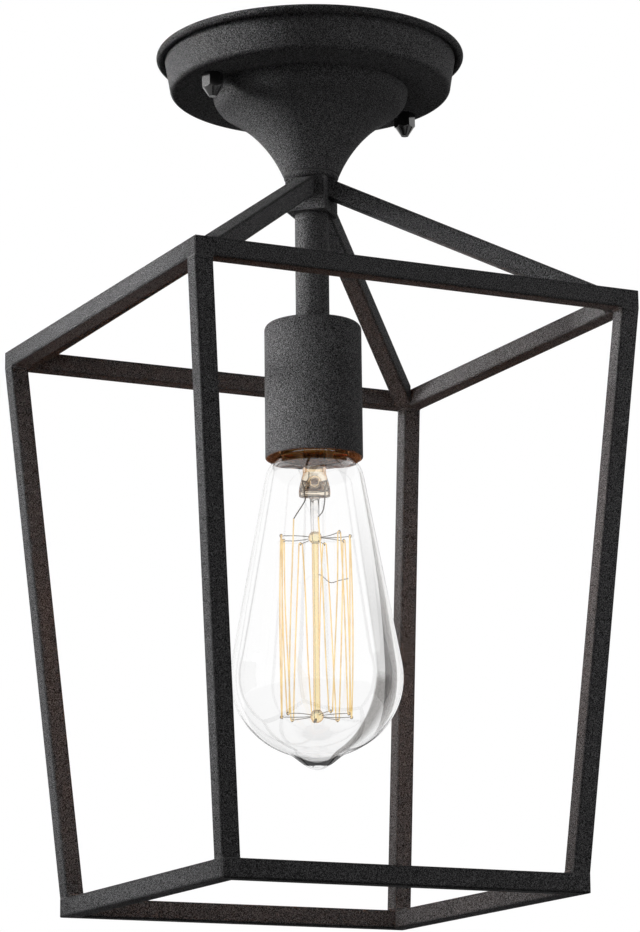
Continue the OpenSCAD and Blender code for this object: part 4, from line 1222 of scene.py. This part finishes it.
soft_light("key_back_left", (-0.85, 0.5, 0.05), 0.7, 1.0, 2)
soft_light("key_near_left", (-0.2, 0, -0.21), 0.16, 0.22, 0.14, spread=75.0, target=(0, 0, -0.21))
soft_light("key_canopy", (-0.75, 0.45, 0.18), 0.4, 0.3, 0.5, spread=20.0, target=(0, 0, 0.02))
soft_light("kicker", (-1.68, 0.74, 0.39), 0.5, 0.3, 3, mirrored=True)
soft_light("fill_right", (1.7, 0.3, 0.2), 0.8, 1.4, 3)
soft_light("fill_near_right", (0.42, -0.42, -0.16), 0.3, 0.4, 0.5)
soft_light("fill_front", (0, -1.75, 0.7), 1.0, 1.0, 4)
glow_light("bulb_glow", -0.215, 0.1)
glow_light("neck_glow", -0.168, 0.02)

# %% [markdown]
# Clear glass on a white ground is drawn by what it mirrors. A photographer stands dark and
# grey cards beside it, which give its rim a grey edge, and one low behind, which keeps the
# undersides dark. These cards are seen only in reflections.


# %% Cards
CARD_R, CARD_COLUMNS = 1.5, 13


def card(name, azimuths, low, high, shade):
    """A curved card round the lantern between two compass directions, in degrees from +X
    towards +Y, and two levels. Shade is its brightness in a reflection."""
    a = np.radians(np.linspace(*azimuths, CARD_COLUMNS))[:, None]
    z = np.array([low, high])[None, :]
    points = around(CARD_R + 0 * z, z, a)
    made, tree, shader, where = finish(name + "_paper", **{
        "Specular IOR Level": 0.0, "Emission Strength": shade, "Emission Color": (1, 0.97, 0.93, 1)})
    weave = tree.noise(where, 200.0)
    feed(tree, shader, Base_Color=tree.mix(weave, (0.0, 0.0, 0.0, 1), (0.01, 0.01, 0.01, 1)))
    faces = grid_faces(CARD_COLUMNS, 2, False, False)
    screen = add_object(name, add_mesh(name, points.reshape(-1, 3), faces, made))
    for kind in ("camera", "diffuse", "transmission", "shadow", "volume_scatter"):
        setattr(screen, "visible_" + kind, False)


card("card_right", (-36.0, 2.0), -0.8, 0.4, 0.0)
card("card_left", (122.0, 157.0), -0.5, 0.2, 0.4)
card("card_edge", (2.0, 35.0), -0.8, 0.4, 0.7)
card("card_behind", (42.0, 85.0), -0.52, -0.3, 0.0)

# %% [markdown]
# ## Camera
# The camera's place, direction and lens were worked out from the corners of the cage in the
# photograph. It stands low and looks up, a little from the left of the front.

# %% Camera
CAMERA_PLACE = (-0.5894, -1.1895, -0.4614)
AZIMUTH, ELEVATION, ROLL = math.radians(26.45), math.radians(12.75), math.radians(-0.65)
FOCAL_PIXELS, IMAGE_HEIGHT, SENSOR = 3653.0, 932, 36.0


def camera_axes():
    """Right, up and forward, from azimuth (0 along +Y, growing towards +X), elevation, roll."""
    ca, sa = math.cos(AZIMUTH), math.sin(AZIMUTH)
    ce, se = math.cos(ELEVATION), math.sin(ELEVATION)
    forward = Vector((ce * sa, ce * ca, se))
    right = Vector((ca, -sa, 0))
    up = Vector((-se * sa, -se * ca, ce))
    c, s = math.cos(ROLL), math.sin(ROLL)
    return c * right + s * up, -s * right + c * up, forward


right, up, forward = camera_axes()
camera_data = bpy.data.cameras.new("camera")
camera_data.sensor_width = SENSOR
camera_data.lens = FOCAL_PIXELS * SENSOR / IMAGE_HEIGHT
camera = add_object("camera", camera_data)
camera.matrix_world = Matrix.Translation(CAMERA_PLACE) @ Matrix(
    (right, up, -forward)).transposed().to_4x4()
bpy.context.scene.camera = camera
print("lens", round(camera_data.lens, 1), "mm")
